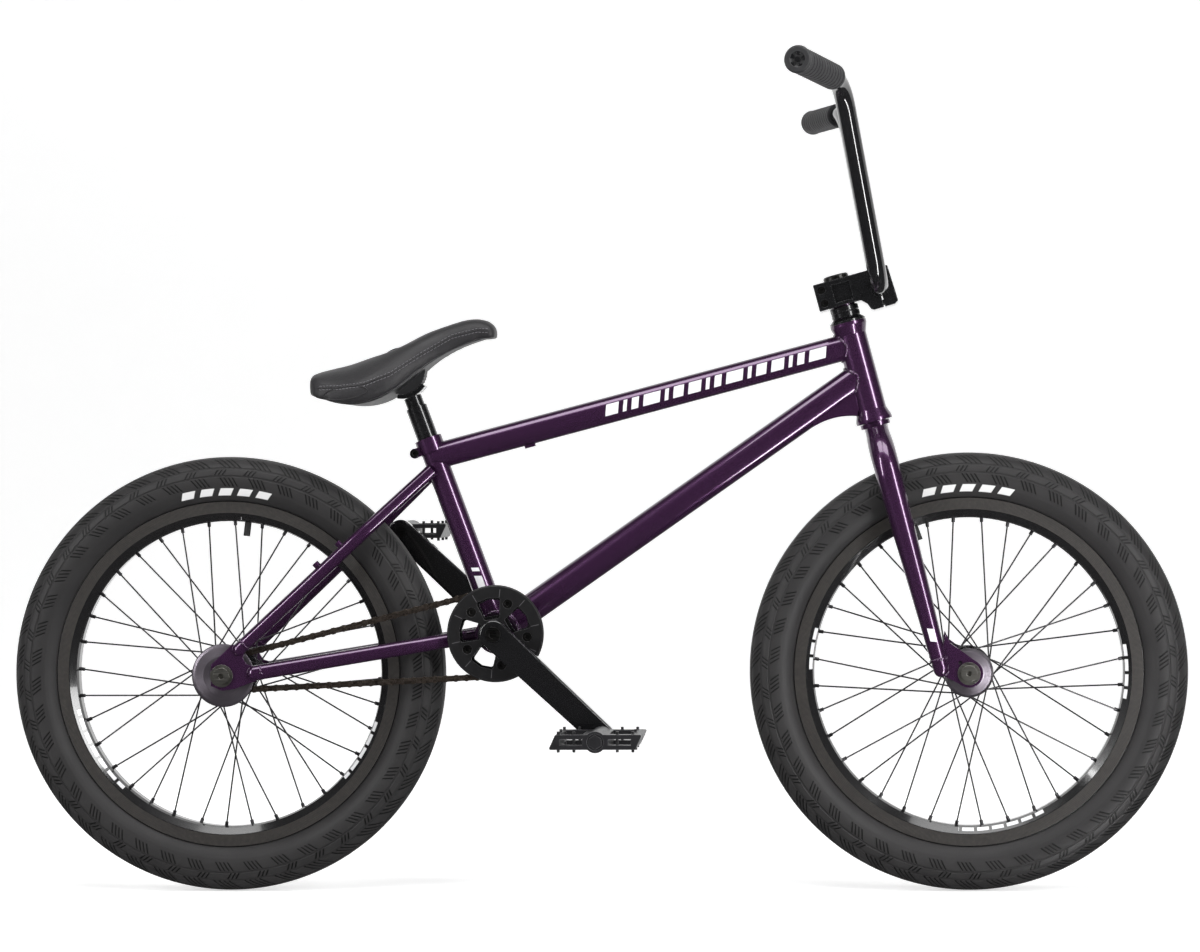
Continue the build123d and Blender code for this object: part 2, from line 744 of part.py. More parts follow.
def make_stem_bolts():
    """Four faceplate bolts, two pinch bolts and the fork cap bolt."""
    bolts = [socket_bolt((62.4, side, up), (-1, 0, 0), 18) for up, side in face_bolt_places]
    bolts += [socket_bolt((-20.5, -24.5, up), (0, 1, 0), 40) for up in pinch_bolt_heights]
    cap_top = 120.5
    plug = [(0, 100), (11.2, 100), (11.2, stem_high)]
    lid = [(15.0, stem_high), (15.0, cap_top - 1.5), (13.5, cap_top), (0, cap_top)]
    cap = turned(plug + lid)
    cap -= extrude(Plane(origin=(0, 0, cap_top), z_dir=(0, 0, -1)) * RegularPolygon(5.0, 6), amount=8)
    return group([steer.location * bolt for bolt in bolts + [cap]])


grip_inner = Vector(289.9, 222.0, 943.6)
grip_outer = Vector(252.8, 368.0, 948.2)
grip_axis = (grip_outer - grip_inner).normalized()
riser_foot_side, riser_top_side = 62.0, 192.0


def bar_path():
    """Corner points of the left half of the handlebar, centre to end."""
    foot = on_steer(clamp_forward, 0, clamp_up)
    top = grip_inner - grip_axis * ((grip_inner.Y - riser_top_side) / grip_axis.Y)
    return [foot, foot + Vector(0, riser_foot_side, 0), top, grip_outer - grip_axis * 3]


def mirror_point(point):
    return Vector(point.X, -point.Y, point.Z)


def make_handlebar():
    left = bar_path()
    points = [mirror_point(p) for p in reversed(left[1:])] + left[1:]
    radii = [58, 52, 52, 58]
    return bent_bar(points, radii, bar_radius - 0.01) - bent_bar(points, radii, bar_radius - 2.0)


def crossbar_end():
    _, foot, top, _ = bar_path()
    return foot + (top - foot) * 0.62


def make_crossbar():
    end = crossbar_end()
    _, foot, top, _ = bar_path()
    bar = rod(mirror_point(end), end, 8.0) - rod(mirror_point(end), end, 6.6)
    for riser in ((foot, top), (mirror_point(foot), mirror_point(top))):
        bar -= rod(riser[0], riser[1], bar_radius)
    return one_solid(bar)


def make_grips():
    """Flangeless rubber grips with shallow ribs."""
    length, outer = 143.0, 15.0
    frame_here = Plane(origin=grip_outer - grip_axis * (length + 3), z_dir=grip_axis)
    points = [(bar_radius + 0.05, 0), (outer - 1, 0), (outer, 1.5)]
    for number in range(12):
        low = 8 + number * 11
        points += [(outer, low), (outer - 0.7, low + 0.6), (outer - 0.7, low + 2.0), (outer, low + 2.6)]
    points += [(outer, length - 1.5), (outer - 1, length), (bar_radius + 0.05, length)]
    left = frame_here.location * turned(points)
    return group([left, mirrored(left)])


def make_bar_plugs():
    frame_here = Plane(origin=grip_outer - grip_axis * 3, z_dir=grip_axis)
    inside = bar_radius - 2.1
    points = [(0, -14), (inside, -14), (inside, 0.2), (15.2, 0.2), (15.6, 2.5)]
    points += [(13.6, 4.5), (9, 4.5), (7, 3), (0, 3)]
    left = frame_here.location * turned(points)
    return group([left, mirrored(left)])


# ---------------------------------------------------------------- drive

sprocket_thickness = 3.0
guard_radius, guard_outer_face, guard_inner_face = 57.5, -53.5, -49.0
guard_bolt_circle = 38.0
window_angles = (102, 30, -42, -114, 174)
guard_bolt_angles = (138, 67, -6, -79, -151)
arm_inner_face, arm_outer_face = 61.5, 78.5
boss_inner_face, boss_radius = 54.0, 14.2
pedal_eye_radius, pedal_thread_radius = 14.4, 7.1
arm_direction = Vector(cos(radians(crank_angle)), 0, sin(radians(crank_angle)))
right_pedal = bracket + arm_direction * crank_length
left_pedal = bracket - arm_direction * crank_length


def toothed_disc(centre, teeth, seats):
    """Disc with a roller seat cut at each place where a chain roller lies or would lie."""
    outer = pitch_radius(teeth) + 2.8
    first = min(seats, key=lambda point: (point - centre).length)
    start = degrees(atan2(first.Z - centre.Z, first.X - centre.X))
    cut = Circle(4.1) + make_face(Polyline((0, -4.1), (9, -6.6), (9, 6.6), (0, 4.1), close=True))
    disc = Circle(outer)
    for number in range(teeth):
        disc -= Rot(0, 0, start + number * 360 / teeth) * (Pos(pitch_radius(teeth), 0) * cut)
    for point in rollers:
        if (Vector(point.X, 0, point.Z) - centre).length < outer + 4.1:
            disc -= Pos(point.X - centre.X, point.Z - centre.Z) * Circle(4.1)
    half = sprocket_thickness / 2
    return Pos(centre.X, 0, centre.Z) * side_plate(disc, chain_line - half, chain_line + half)


def rollers_near(centre, teeth):
    """Rollers seated on a toothed wheel: those exactly one pitch radius from its axis."""
    reach = pitch_radius(teeth)
    flat = [Vector(point.X, 0, point.Z) for point in rollers]
    return [point for point in flat if abs((point - centre).length - reach) < 0.01]


def make_driver():
    """Nine-tooth cog in one piece with the driver body that carries it."""
    cog = toothed_disc(rear_axle, driver_teeth, rollers_near(rear_axle, driver_teeth))
    cog += cross_ring(-49.0, -37.2, 13.9, 0, rear_axle)
    return cog - cross_ring(-60, -30, axle_radius + running_gap, 0, rear_axle)


def window(angle, inner, outer, half_angle):
    """Rounded window between two radii, pointing along an angle."""
    spread_in, spread_out = inner * tan(radians(half_angle)) + 3, outer * tan(radians(half_angle))
    shape = make_face(Polyline(
        (inner, -spread_in), (outer - 3, -spread_out), (outer, 0), (outer - 3, spread_out), (inner, spread_in),
        close=True,
    ))
    shape = fillet(shape.vertices(), 3.0)
    return Rot(0, 0, angle) * shape


def make_sprocket():
    disc = toothed_disc(bracket, sprocket_teeth, rollers_near(bracket, sprocket_teeth))
    half = sprocket_thickness / 2
    cuts = [window(angle, 21, 41, 17) for angle in window_angles]
    for cut in cuts:
        disc -= Pos(bracket.X, 0, bracket.Z) * side_plate(cut, chain_line - half - 1, chain_line + half + 1)
    hub = cross_ring(-boss_inner_face, chain_line + half, 15.5, 0, bracket)
    disc += hub
    for angle in guard_bolt_angles:
        centre = bracket + guard_bolt_circle * Vector(cos(radians(angle)), 0, sin(radians(angle)))
        disc -= rod(centre + Vector(0, -60, 0), centre, 3.1)
    spare = bracket + 26 * Vector(cos(radians(136)), 0, sin(radians(136)))
    disc -= rod(spare + Vector(0, -60, 0), spare, 2.6)
    return disc - cross_ring(-70, 0, spindle_radius + 0.02, 0, bracket)


def make_guard():
    """Bash guard: an outer ring plate on five pads that stand on the sprocket."""
    plate = Circle(guard_radius) - Circle(16.2)
    for angle in window_angles:
        plate -= window(angle, 17.5, 43, 19)
    body = Pos(bracket.X, 0, bracket.Z) * side_plate(plate, guard_outer_face, guard_inner_face)
    body = chamfer(body.edges().filter_by(GeomType.CIRCLE).sort_by(SortBy.RADIUS)[-2:], 1.6)
    back = chain_line - sprocket_thickness / 2
    for angle in guard_bolt_angles:
        centre = bracket + guard_bolt_circle * Vector(cos(radians(angle)), 0, sin(radians(angle)))
        body += cross_ring(guard_inner_face, back, 6.8, 0, centre)
        body -= rod(centre + Vector(0, -60, 0), centre, 3.1)
        body -= rod(centre + Vector(0, -60, 0), centre + Vector(0, guard_outer_face + 2.6, 0), 5.6)
    return one_solid(body)


def make_crank_bolts():
    """Five guard bolts, the sprocket bolt and the two spindle end bolts."""
    bolts = []
    for angle in guard_bolt_angles:
        centre = bracket + guard_bolt_circle * Vector(cos(radians(angle)), 0, sin(radians(angle)))
        seat = centre + Vector(0, guard_outer_face + 0.3, 0)
        bolts.append(socket_bolt(seat, (0, 1, 0), 9.4, 5.4, 3.0, 2.3))
    for side in (-1, 1):
        start = bracket + Vector(0, side * (arm_outer_face + 3.2), 0)
        bolts.append(socket_bolt(start, (0, -side, 0), 24, 9.0, 5.9, 2.6))
    return group(bolts)


def tapered_link(length, root, tip):
    """Outline of two round ends joined by their outer tangent lines."""
    lean = asin((root - tip) / length)
    near, far = root * sin(lean), length + tip * sin(lean)
    near_z, far_z = root * cos(lean), tip * cos(lean)
    edges = [
        ThreePointArc((near, near_z), (-root, 0), (near, -near_z)),
        Line((near, -near_z), (far, -far_z)),
        ThreePointArc((far, -far_z), (length + tip, 0), (far, far_z)),
        Line((far, far_z), (near, near_z)),
    ]
    return make_face([line.edge() for line in edges])


def crank_arm(angle):
    """Left crank arm: a boxed, slightly tapered arm between the spindle boss and the pedal eye."""
    outline = tapered_link(crank_length, 16.9, pedal_eye_radius)
    arm = side_plate(outline, arm_inner_face, arm_outer_face)
    rims = arm.faces().filter_by(Axis.Y).edges()
    arm = fillet(rims, 3.2)
    arm += cross_ring(boss_inner_face, arm_outer_face + 0.6, boss_radius)
    arm -= cross_ring(boss_inner_face - 1, arm_outer_face - 2, spindle_radius + 0.02)
    arm -= cross_ring(arm_outer_face - 3, arm_outer_face + 1, 6.1)
    eye = Vector(crank_length, 0, 0)
    arm -= cross_ring(arm_inner_face - 1, arm_outer_face + 1, pedal_thread_radius, 0, eye)
    return Pos(*bracket) * Rot(0, -angle, 0) * arm


def make_left_arm():
    return crank_arm(crank_angle + 180)


def make_right_arm():
    return mirrored(crank_arm(crank_angle))


def make_spindle():
    """Hollow spindle with end bores for its bolts."""
    end = arm_outer_face - 2.2
    return cross_ring(-end, end, spindle_radius, 6.0, bracket)


def link_plate(start, end, y_low, y_high, height=4.1, waist=3.3):
    """One figure-eight chain plate between two roller centres."""
    along = end - start
    turn = degrees(atan2(along.Z, along.X))
    outline = Circle(height) + Pos(along.length, 0) * Circle(height)
    outline += Pos(along.length / 2, 0) * Rectangle(along.length, 2 * waist)
    return Pos(start.X, 0, start.Z) * (Rot(0, -turn, 0) * side_plate(outline, y_low, y_high))


def make_chain():
    """Sixty-nine links: inner and outer ones in turn, closed by one offset half link."""
    inner_in, inner_out, outer_in, outer_out = 1.75, 2.75, 2.85, 3.85
    pin, bush, roller, pin_end = 1.8, 1.85, 3.85, 4.5
    flat = [Vector(point.X, 0, point.Z) for point in rollers]
    links = []
    for number in range(chain_links):
        start, end = flat[number], flat[(number + 1) % chain_links]
        joint = number == chain_links - 1
        shape = None
        for side in (-1, 1):
            edges_in = sorted((chain_line + side * inner_in, chain_line + side * inner_out))
            edges_out = sorted((chain_line + side * outer_in, chain_line + side * outer_out))
            if joint:
                middle = (start + end) * 0.5
                low, high = sorted((chain_line + side * inner_in, chain_line + side * outer_out))
                near = link_plate(start, start + (middle - start) * 0.1, *edges_in)
                far = link_plate(end, end + (middle - end) * 0.1, *edges_out)
                plate = near + far + link_plate(middle, middle + (end - start) * 0.01, low, high, 3.0, 3.0)
            else:
                plate = link_plate(start, end, *(edges_in if number % 2 == 0 else edges_out))
            shape = plate if shape is None else shape + plate
        low, high = chain_line - inner_in, chain_line + inner_in
        if number % 2 == 0:
            for centre in ((start,) if joint else (start, end)):
                shape += cross_ring(low, high, roller, 0, centre)
        if number % 2 == 1:
            for centre in (start, end):
                shape += cross_ring(chain_line - pin_end, chain_line + pin_end, pin, 0, centre)
        if joint:
            shape += cross_ring(chain_line - pin_end, chain_line + pin_end, pin, 0, end)
        if number % 2 == 0:
            for centre in ((start,) if joint else (start, end)):
                shape -= cross_ring(chain_line - 5, chain_line + 5, bush, 0, centre)
        links.append(one_solid(shape))
    return group(links)


# ---------------------------------------------------------------- pedals

pedal_inner_face, pedal_outer_face = 84.0, 178.0
pedal_half_length, pedal_half_height, pedal_lean = 50.0, 8.6, 4.0
pedal_barrel = 12.4


def make_pedal_axles():
    axles = []
    for centre, side in ((right_pedal, -1), (left_pedal, 1)):
        def at(distance):
            return centre + Vector(0, side * distance, 0)
        axle = rod(at(arm_inner_face), at(arm_outer_face), pedal_thread_radius)
        axle += rod(at(arm_outer_face), at(pedal_inner_face - 0.5), 9.5)
        axle += rod(at(pedal_inner_face - 0.5), at(165), 5.5)
        axles.append(axle)
    return group(axles)


def pedal_at_origin():
    """Left pedal around its axle: slanted ends, open windows, moulded pins."""
    h, e = pedal_half_height, pedal_half_length
    top_edge = [(pedal_lean - e, h), (pedal_lean + e, h)]
    bottom_edge = [(-pedal_lean + e, -h), (-pedal_lean - e, -h)]
    outline = make_face(Polyline(*top_edge, *bottom_edge, close=True))
    outline = fillet(outline.vertices(), 1.8)
    body = side_plate(outline, pedal_inner_face, pedal_outer_face)
    middle_y = (pedal_inner_face + pedal_outer_face) / 2
    for side in (-1, 1):
        body -= Pos(side * 27.5, middle_y, 0) * Box(25, 68, 40)
        body -= Pos(side * 28, middle_y, 0) * Box(26, 120, 7)
    body += cross_ring(pedal_inner_face, pedal_outer_face, pedal_barrel)
    body -= cross_ring(0, 165.3, 5.5 + running_gap)
    cap = Plane(origin=(0, pedal_outer_face, 0), z_dir=(0, 1, 0))
    body -= extrude(cap * (Circle(9.6) - RegularPolygon(8.2, 6)), amount=-1.2)
    pin_places = [(x, y) for y in (pedal_inner_face + 7, pedal_outer_face - 7) for x in (-43, -25, 25, 43)]
    pin_places += [(side * 43.5, middle_y) for side in (-1, 1)]
    for x, y in pin_places:
        body += Pos(x, y, 0) * Cylinder(1.7, 2 * (h + 3.4))
    for side in (-1, 1):
        body -= Pos(side * 28, middle_y, 0) * Box(25, 67, 60)
    return body


def make_left_pedal():
    return Pos(*left_pedal) * pedal_at_origin()


def make_right_pedal():
    return Pos(*right_pedal) * mirrored(pedal_at_origin())


# ---------------------------------------------------------------- seat

tilt_centre_up, tilt_radius = 333.0, 28.2
head_half_width = 11.5
tilt_centre = on_seat_line(0, 0, tilt_centre_up)

# place along X, half width, height of the top ridge, height of the side hem
saddle_stations = (
    (-338.5, 30, 608.0, 599.0), (-331, 50, 613.0, 592.0), (-315, 62, 619.5, 585.5), (-285, 66.5, 629.0, 580.5),
    (-255, 63, 641.0, 586.5), (-220, 47, 656.5, 609.5), (-190, 32, 670.5, 633.5), (-160, 25.5, 680.5, 649.5),
    (-135, 22.5, 682.3, 658.0), (-122, 16, 676.0, 661.5), (-118.3, 9, 669.5, 663.5),
)


def saddle_section(x, half_width, top, hem):
    crown = top - hem
    arch = Spline(
        (-half_width, hem), (-half_width * 0.93, hem + crown * 0.52), (-half_width * 0.55, hem + crown * 0.9),
        (0, top),
        (half_width * 0.55, hem + crown * 0.9), (half_width * 0.93, hem + crown * 0.52), (half_width, hem),
    )
    return Plane(origin=(x, 0, 0), x_dir=(0, 1, 0), z_dir=(1, 0, 0)) * make_face(
        [arch.edge(), Line((half_width, hem), (-half_width, hem)).edge()])


def base_stations(shrink, drop, rise):
    """Rectangular sections just inside the padding's hem, for the recess and for the base."""
    sections = []
    for x, half_width, _, hem in saddle_stations[1:-1]:
        width = 2 * (half_width - shrink)
        plane = Plane(origin=(x, 0, hem + (rise - drop) / 2), x_dir=(0, 1, 0), z_dir=(1, 0, 0))
        sections.append(plane * Rectangle(width, rise + drop))
    return sections


def make_padding():
    pad = loft([saddle_section(*station) for station in saddle_stations])
    pad -= loft(base_stations(7.0, 8.0, 5.0))
    pad -= cross_ring(-head_half_width - 0.6, head_half_width + 0.6, tilt_radius - 3.6, 0, tilt_centre)
    pad -= cross_ring(-head_half_width - 0.6, head_half_width + 0.6, tilt_radius + 0.6, 0, tilt_centre)
    return one_solid(pad)


def make_seat_base():
    """Plastic base plate with the toothed half-round lug that sits on the post."""
    base = loft(base_stations(7.4, 0.0, 4.6))
    lug = cross_ring(-head_half_width, head_half_width, tilt_radius, 0, tilt_centre)
    for number in range(-8, 9):
        angle = radians(-seat_tube_angle + number * 7.5)
        groove = tilt_centre + Vector(cos(angle), 0, sin(angle)) * (tilt_radius + 0.7)
        lug -= rod(groove - Vector(0, 20, 0), groove + Vector(0, 20, 0), 1.3)
    lug -= cross_ring(-8, 8, 22.0, 0, tilt_centre)
    slot = Pos(0, 0, tilt_centre_up - 25) * Box(26, 9, 14)
    lug -= seat_line.location * slot
    base += lug
    base -= cross_ring(-8, 8, 22.0, 0, tilt_centre)
    return one_solid(base)


def make_seat_post():
    """Post with a curved cradle for the seat lug and a bore for the pivot bolt."""
    low, shoulder, cradle = 120.0, 287.0, 300.0
    post = rod(on_seat_line(0, 0, low), on_seat_line(0, 0, shoulder), seat_post_radius)
    post += rod(on_seat_line(0, 0, shoulder), on_seat_line(0, 0, cradle), seat_post_radius - 1.9)
    post -= rod(on_seat_line(0, 0, low - 1), on_seat_line(0, 0, shoulder - 12), seat_post_radius - 3.2)
    wedge = [(0, tilt_centre_up)]
    for angle in (-30, 0, 37):
        reach = (tilt_radius + 5.2) * (1.0 if angle == 0 else 1.1)
        wedge.append((reach * sin(radians(angle)), tilt_centre_up - reach * cos(radians(angle))))
    fan = extrude(Plane.XZ * make_face(Polyline(*wedge, close=True)), amount=head_half_width + 1, both=True)
    ring = cross_ring(-40, 40, tilt_radius + 5.2, 0, tilt_centre)
    post += (seat_line.location * fan) & ring
    post -= cross_ring(-40, 40, tilt_radius + 0.3, 0, tilt_centre)
    return post - rod(on_seat_line(0, 0, 260), on_seat_line(0, 0, 320), 4.2)


def make_pivot_bolt():
    bolt = rod(on_seat_line(0, 0, 276), on_seat_line(0, 0, 313), 4.0)
    bolt += rod(on_seat_line(0, 0, 313), on_seat_line(0, 0, 318), 6.5)
    return bolt - rod(on_seat_line(0, 0, 314), on_seat_line(0, 0, 319), 3.0)


# ---------------------------------------------------------------- assembly

front_phase, rear_phase = 5.0, 2.0
front_valve_angle, rear_valve_angle = -20.0, 7.0
front_hub_half, rear_left_end, rear_right_end = 44.0, 44.0, 37.0


def wheel_nodes(name, centre, phase, valve_angle, flanges, ends):
    left_flange, right_flange = flanges
    left_end, right_end = ends
    return {
        f"{name}_tyre": make_tyre(centre),
        f"{name}_inner_tube": make_inner_tube(centre, valve_angle),
        f"{name}_rim": make_rim(centre, phase, valve_angle, left_flange, right_flange),
        f"{name}_spokes": make_spokes(centre, phase, left_flange, right_flange),
        f"{name}_nipples": make_nipples(centre, phase, left_flange, right_flange),
        f"{name}_hub_shell": Pos(*centre) * hub_shell(left_flange, right_flange, left_end, right_end, phase),
        f"{name}_hub_bearings": Pos(*centre) * hub_bearings(left_end, right_end),
    }


nodes = {
    "head_tube": make_head_tube(),
    "top_tube": make_top_tube(),
    "down_tube": make_down_tube(),
    "seat_tube": make_seat_tube(),
    "bb_shell": make_bb_shell(),
    "bottom_bracket": make_bottom_bracket(),
    "down_tube_gusset": make_gusset(),
    "seat_stays": make_seat_stays(),
    "chain_stays": make_chain_stays(),
    "rear_dropouts": make_rear_dropouts(),
    "seat_collar": make_seat_collar(),
    "seat_collar_bolt": make_collar_bolt(),
    "brake_bosses": make_brake_bosses(),
    "headset_bearings": make_headset_bearings(),
    "rear_axle": make_axle(rear_axle, rear_locknut),
    "rear_axle_bolts": make_axle_bolts(rear_axle, rear_locknut),
    "rear_hub_guards": make_rear_guards(),
    "chain": make_chain(),
    "steerer_tube": make_steerer(),
    "fork_legs": make_fork_legs(),
    "fork_dropouts": make_fork_dropouts(),
    "front_axle": make_axle(front_axle, front_locknut),
    "front_axle_bolts": make_axle_bolts(front_axle, front_locknut),
    "front_hub_guards": make_front_guards(),
    "headset_spacers": make_headset_spacers(),
    "stem_body": make_stem_body(),
    "stem_faceplate": make_stem_faceplate(),
    "stem_bolts": make_stem_bolts(),
    "handlebar": make_handlebar(),
    "crossbar": make_crossbar(),
    "grips": make_grips(),
    "bar_end_plugs": make_bar_plugs(),
    "driver": make_driver(),
    "crank_spindle": make_spindle(),
    "crank_arm_left": make_left_arm(),
    "crank_arm_right": make_right_arm(),
    "sprocket": make_sprocket(),
    "sprocket_guard": make_guard(),
    "crank_bolts": make_crank_bolts(),
    "pedal_axles": make_pedal_axles(),
    "pedal_left": make_left_pedal(),
    "pedal_right": make_right_pedal(),
    "seat_post": make_seat_post(),
    "seat_base": make_seat_base(),
    "seat_padding": make_padding(),
    "seat_pivot_bolt": make_pivot_bolt(),
    **wheel_nodes(
        "front", front_axle, front_phase, front_valve_angle,
        (front_flange, front_flange), (front_hub_half, front_hub_half),
    ),
    **wheel_nodes(
        "rear", rear_axle, rear_phase, rear_valve_angle,
        (rear_flange_left, rear_flange_right), (rear_left_end, rear_right_end),
    ),
}

for name, shape in nodes.items():
    export_step(shape, f"parts/{name}.step")
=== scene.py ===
"""Looks for the freestyle bicycle: materials, tyres, saddle cover, weld beads, studio and camera."""

import json
from math import acos, cos, pi, radians, sin, sqrt

import bmesh
import bpy
from mathutils import Matrix, Vector
from mathutils.bvhtree import BVHTree

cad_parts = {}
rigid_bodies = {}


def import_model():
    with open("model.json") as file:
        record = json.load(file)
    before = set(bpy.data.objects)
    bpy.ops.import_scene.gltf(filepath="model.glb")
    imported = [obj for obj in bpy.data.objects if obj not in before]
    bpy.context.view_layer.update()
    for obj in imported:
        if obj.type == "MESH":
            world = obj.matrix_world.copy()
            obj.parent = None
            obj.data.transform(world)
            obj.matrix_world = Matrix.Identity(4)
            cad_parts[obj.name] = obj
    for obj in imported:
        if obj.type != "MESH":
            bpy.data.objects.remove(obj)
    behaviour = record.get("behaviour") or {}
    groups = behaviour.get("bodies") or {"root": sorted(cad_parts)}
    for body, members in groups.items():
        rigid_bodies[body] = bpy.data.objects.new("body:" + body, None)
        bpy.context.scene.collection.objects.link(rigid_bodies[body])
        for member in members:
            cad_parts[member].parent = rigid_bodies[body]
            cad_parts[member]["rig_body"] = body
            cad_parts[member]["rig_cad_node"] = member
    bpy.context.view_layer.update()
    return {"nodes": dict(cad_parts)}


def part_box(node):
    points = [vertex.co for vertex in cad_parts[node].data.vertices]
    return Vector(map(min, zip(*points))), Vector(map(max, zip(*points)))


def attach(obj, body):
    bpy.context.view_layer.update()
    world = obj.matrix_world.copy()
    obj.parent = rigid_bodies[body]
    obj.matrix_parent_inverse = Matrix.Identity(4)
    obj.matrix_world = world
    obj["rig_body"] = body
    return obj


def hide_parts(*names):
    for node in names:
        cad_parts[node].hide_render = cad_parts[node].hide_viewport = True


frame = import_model()
nodes = frame["nodes"]

# driving sizes, in metres
wheel_radius = 0.260
tyre_section = 0.0294
front_axle = Vector((0.44165, 0, 0.26))
rear_axle = Vector((-0.44165, 0, 0.26))
bracket = Vector((-0.11669, 0, 0.308634))
seat_axis = Vector((-0.345298, 0, 0.938493))
top_tube_back = Vector((-0.1955, 0, 0.5182))
top_tube_front = Vector((0.308, 0, 0.648414))
down_tube_back = Vector((-0.11669, 0, 0.31063))
down_tube_front = Vector((0.317, 0, 0.61206))
grip_outer = Vector((0.2528, 0.368, 0.9482))
grip_axis = Vector((-0.24619, 0.96876, 0.03053))
fork_tip = Vector((0.40917, 0, 0.26493))
fork_shoulder = Vector((0.34959, 0, 0.49122))
crossbar_place = Vector((0.313324, 0.1426, 0.856391))

# Each tread row has its lowest and highest angle round the section, its lean, where it starts,
# the share of the group that is cut, and the number of cuts.
tread_groups = 42
tread_rows = (
    (radians(81), radians(103), 0.55, 0.0, 0.56, 4),
    (radians(27), radians(56), 0.75, 0.3, 0.66, 4),
    (radians(60), radians(76), -0.5, 0.1, 0.4, 3),
)
tread_grooves = (radians(0), radians(24), radians(58), radians(78))
groove_depth = 0.0012
tyre_wall = 0.0032
bead_half_width = 0.0173

top_tube_radius = 0.0159
down_tube_radius = 0.01745
seat_tube_radius = 0.0143
stay_radius = 0.008
crossbar_radius = 0.008


# ---------------------------------------------------------------- node helpers

def new_material(name, **values):
    """A principled material and the tree it lives in. Values are constants set on the shader."""
    material = bpy.data.materials.new(name)
    material.use_nodes = True
    shader = material.node_tree.nodes["Principled BSDF"]
    for key, value in values.items():
        shader.inputs[key.replace("_", " ")].default_value = value
    return material, material.node_tree, shader


def add(tree, kind, **settings):
    """A new shader node with its settings."""
    node = tree.nodes.new("ShaderNode" + kind)
    for key, value in settings.items():
        setattr(node, key, value)
    return node


def feed(tree, socket, value):
    """Puts a number, a vector or another node's output into a socket."""
    if isinstance(value, bpy.types.NodeSocket):
        tree.links.new(value, socket)
    else:
        socket.default_value = value


def calc(tree, operation, first, second=0.0, clamp=False):
    node = add(tree, "Math", operation=operation, use_clamp=clamp)
    feed(tree, node.inputs[0], first)
    feed(tree, node.inputs[1], second)
    return node.outputs[0]


def place(tree):
    """Position on the piece itself, in metres, in the row frame at rest."""
    return add(tree, "TexCoord").outputs["Object"]


def stretched(tree, scale, turn=(0, 0, 0), vector=None):
    mapping = add(tree, "Mapping")
    feed(tree, mapping.inputs["Vector"], vector or place(tree))
    mapping.inputs["Scale"].default_value = scale
    mapping.inputs["Rotation"].default_value = turn
    return mapping.outputs["Vector"]


def noise(tree, scale, detail=3.0, roughness=0.55, vector=None):
    node = add(tree, "TexNoise")
    feed(tree, node.inputs["Vector"], vector or place(tree))
    node.inputs["Scale"].default_value = scale
    node.inputs["Detail"].default_value = detail
    node.inputs["Roughness"].default_value = roughness
    return node.outputs["Fac"]


def cells(tree, scale, vector=None, feature="F1"):
    node = add(tree, "TexVoronoi", feature=feature)
    feed(tree, node.inputs["Vector"], vector or place(tree))
    node.inputs["Scale"].default_value = scale
    return node.outputs["Distance"]


def spread(tree, value, low, high, new_low, new_high):
    node = add(tree, "MapRange")
    feed(tree, node.inputs["Value"], value)
    for key, number in (("From Min", low), ("From Max", high), ("To Min", new_low), ("To Max", new_high)):
        node.inputs[key].default_value = number
    return node.outputs["Result"]


def tints(tree, factor, first, second):
    """Colour between two tones."""
    node = add(tree, "Mix", data_type="RGBA")
    feed(tree, node.inputs["Factor"], factor)
    for socket, value in ((node.inputs["A"], first), (node.inputs["B"], second)):
        feed(tree, socket, value if isinstance(value, bpy.types.NodeSocket) else (*value, 1.0))
    return node.outputs["Result"]


def bumped(tree, shader, height, strength, distance, edge=0.0):
    """Relief from a height, on top of softened edges where edge is a radius in metres."""
    node = add(tree, "Bump")
    node.inputs["Strength"].default_value = strength
    node.inputs["Distance"].default_value = distance
    feed(tree, node.inputs["Height"], height)
    if edge:
        soft = add(tree, "Bevel", samples=4)
        soft.inputs["Radius"].default_value = edge
        tree.links.new(soft.outputs["Normal"], node.inputs["Normal"])
    tree.links.new(node.outputs["Normal"], shader.inputs["Normal"])


def inside(tree, value, low, high, soft):
    """1 where value is between low and high, fading over soft."""
    rise = spread(tree, value, low, low + soft, 0.0, 1.0)
    fall = spread(tree, value, high - soft, high, 1.0, 0.0)
    return calc(tree, "MULTIPLY", rise, fall)


def about_axle(tree, centre):
    """Radius, angle and sideways place about an axle that runs along Y."""
    offset = add(tree, "VectorMath", operation="SUBTRACT")
    feed(tree, offset.inputs[0], place(tree))
    offset.inputs[1].default_value = centre
    split = add(tree, "SeparateXYZ")
    tree.links.new(offset.outputs[0], split.inputs[0])
    x, y, z = split.outputs
    squares = calc(tree, "ADD", calc(tree, "MULTIPLY", x, x), calc(tree, "MULTIPLY", z, z))
    return calc(tree, "SQRT", squares), calc(tree, "ARCTAN2", z, x), y


# ---------------------------------------------------------------- materials

def frame_paint(name="frame_paint"):
    """Deep purple candy paint under clear lacquer, darker where it pools, with fine flake, painted lighter
    where the surface faces the camera and painted shade where it is seen edge-on.
    """
    material, tree, shader = new_material(
        name, Metallic=0.7, Coat_Weight=1.0, Coat_Roughness=0.03, Coat_IOR=1.55, Specular_IOR_Level=0.6)
    pooled = noise(tree, 9, 3)
    flake = noise(tree, 2600, 1)
    facing = add(tree, "LayerWeight")
    facing.inputs["Blend"].default_value = 0.35
    # painted light and shade: a lit tone where the surface faces the camera, a darker painted shade tone
    # towards its edges seen side-on
    painted_shade_tone = tints(tree, pooled, (0.0125, 0.0032, 0.0150), (0.021, 0.0055, 0.0245))
    painted_lit_tone = tints(tree, flake, (0.056, 0.0155, 0.063), (0.078, 0.0235, 0.087))
    feed(tree, shader.inputs["Base Color"], tints(tree, facing.outputs["Facing"], painted_lit_tone, painted_shade_tone))
    feed(tree, shader.inputs["Roughness"], spread(tree, flake, 0.3, 0.7, 0.22, 0.3))
    bumped(tree, shader, noise(tree, 160, 2), 0.04, 0.0004, edge=0.0009)
    return material


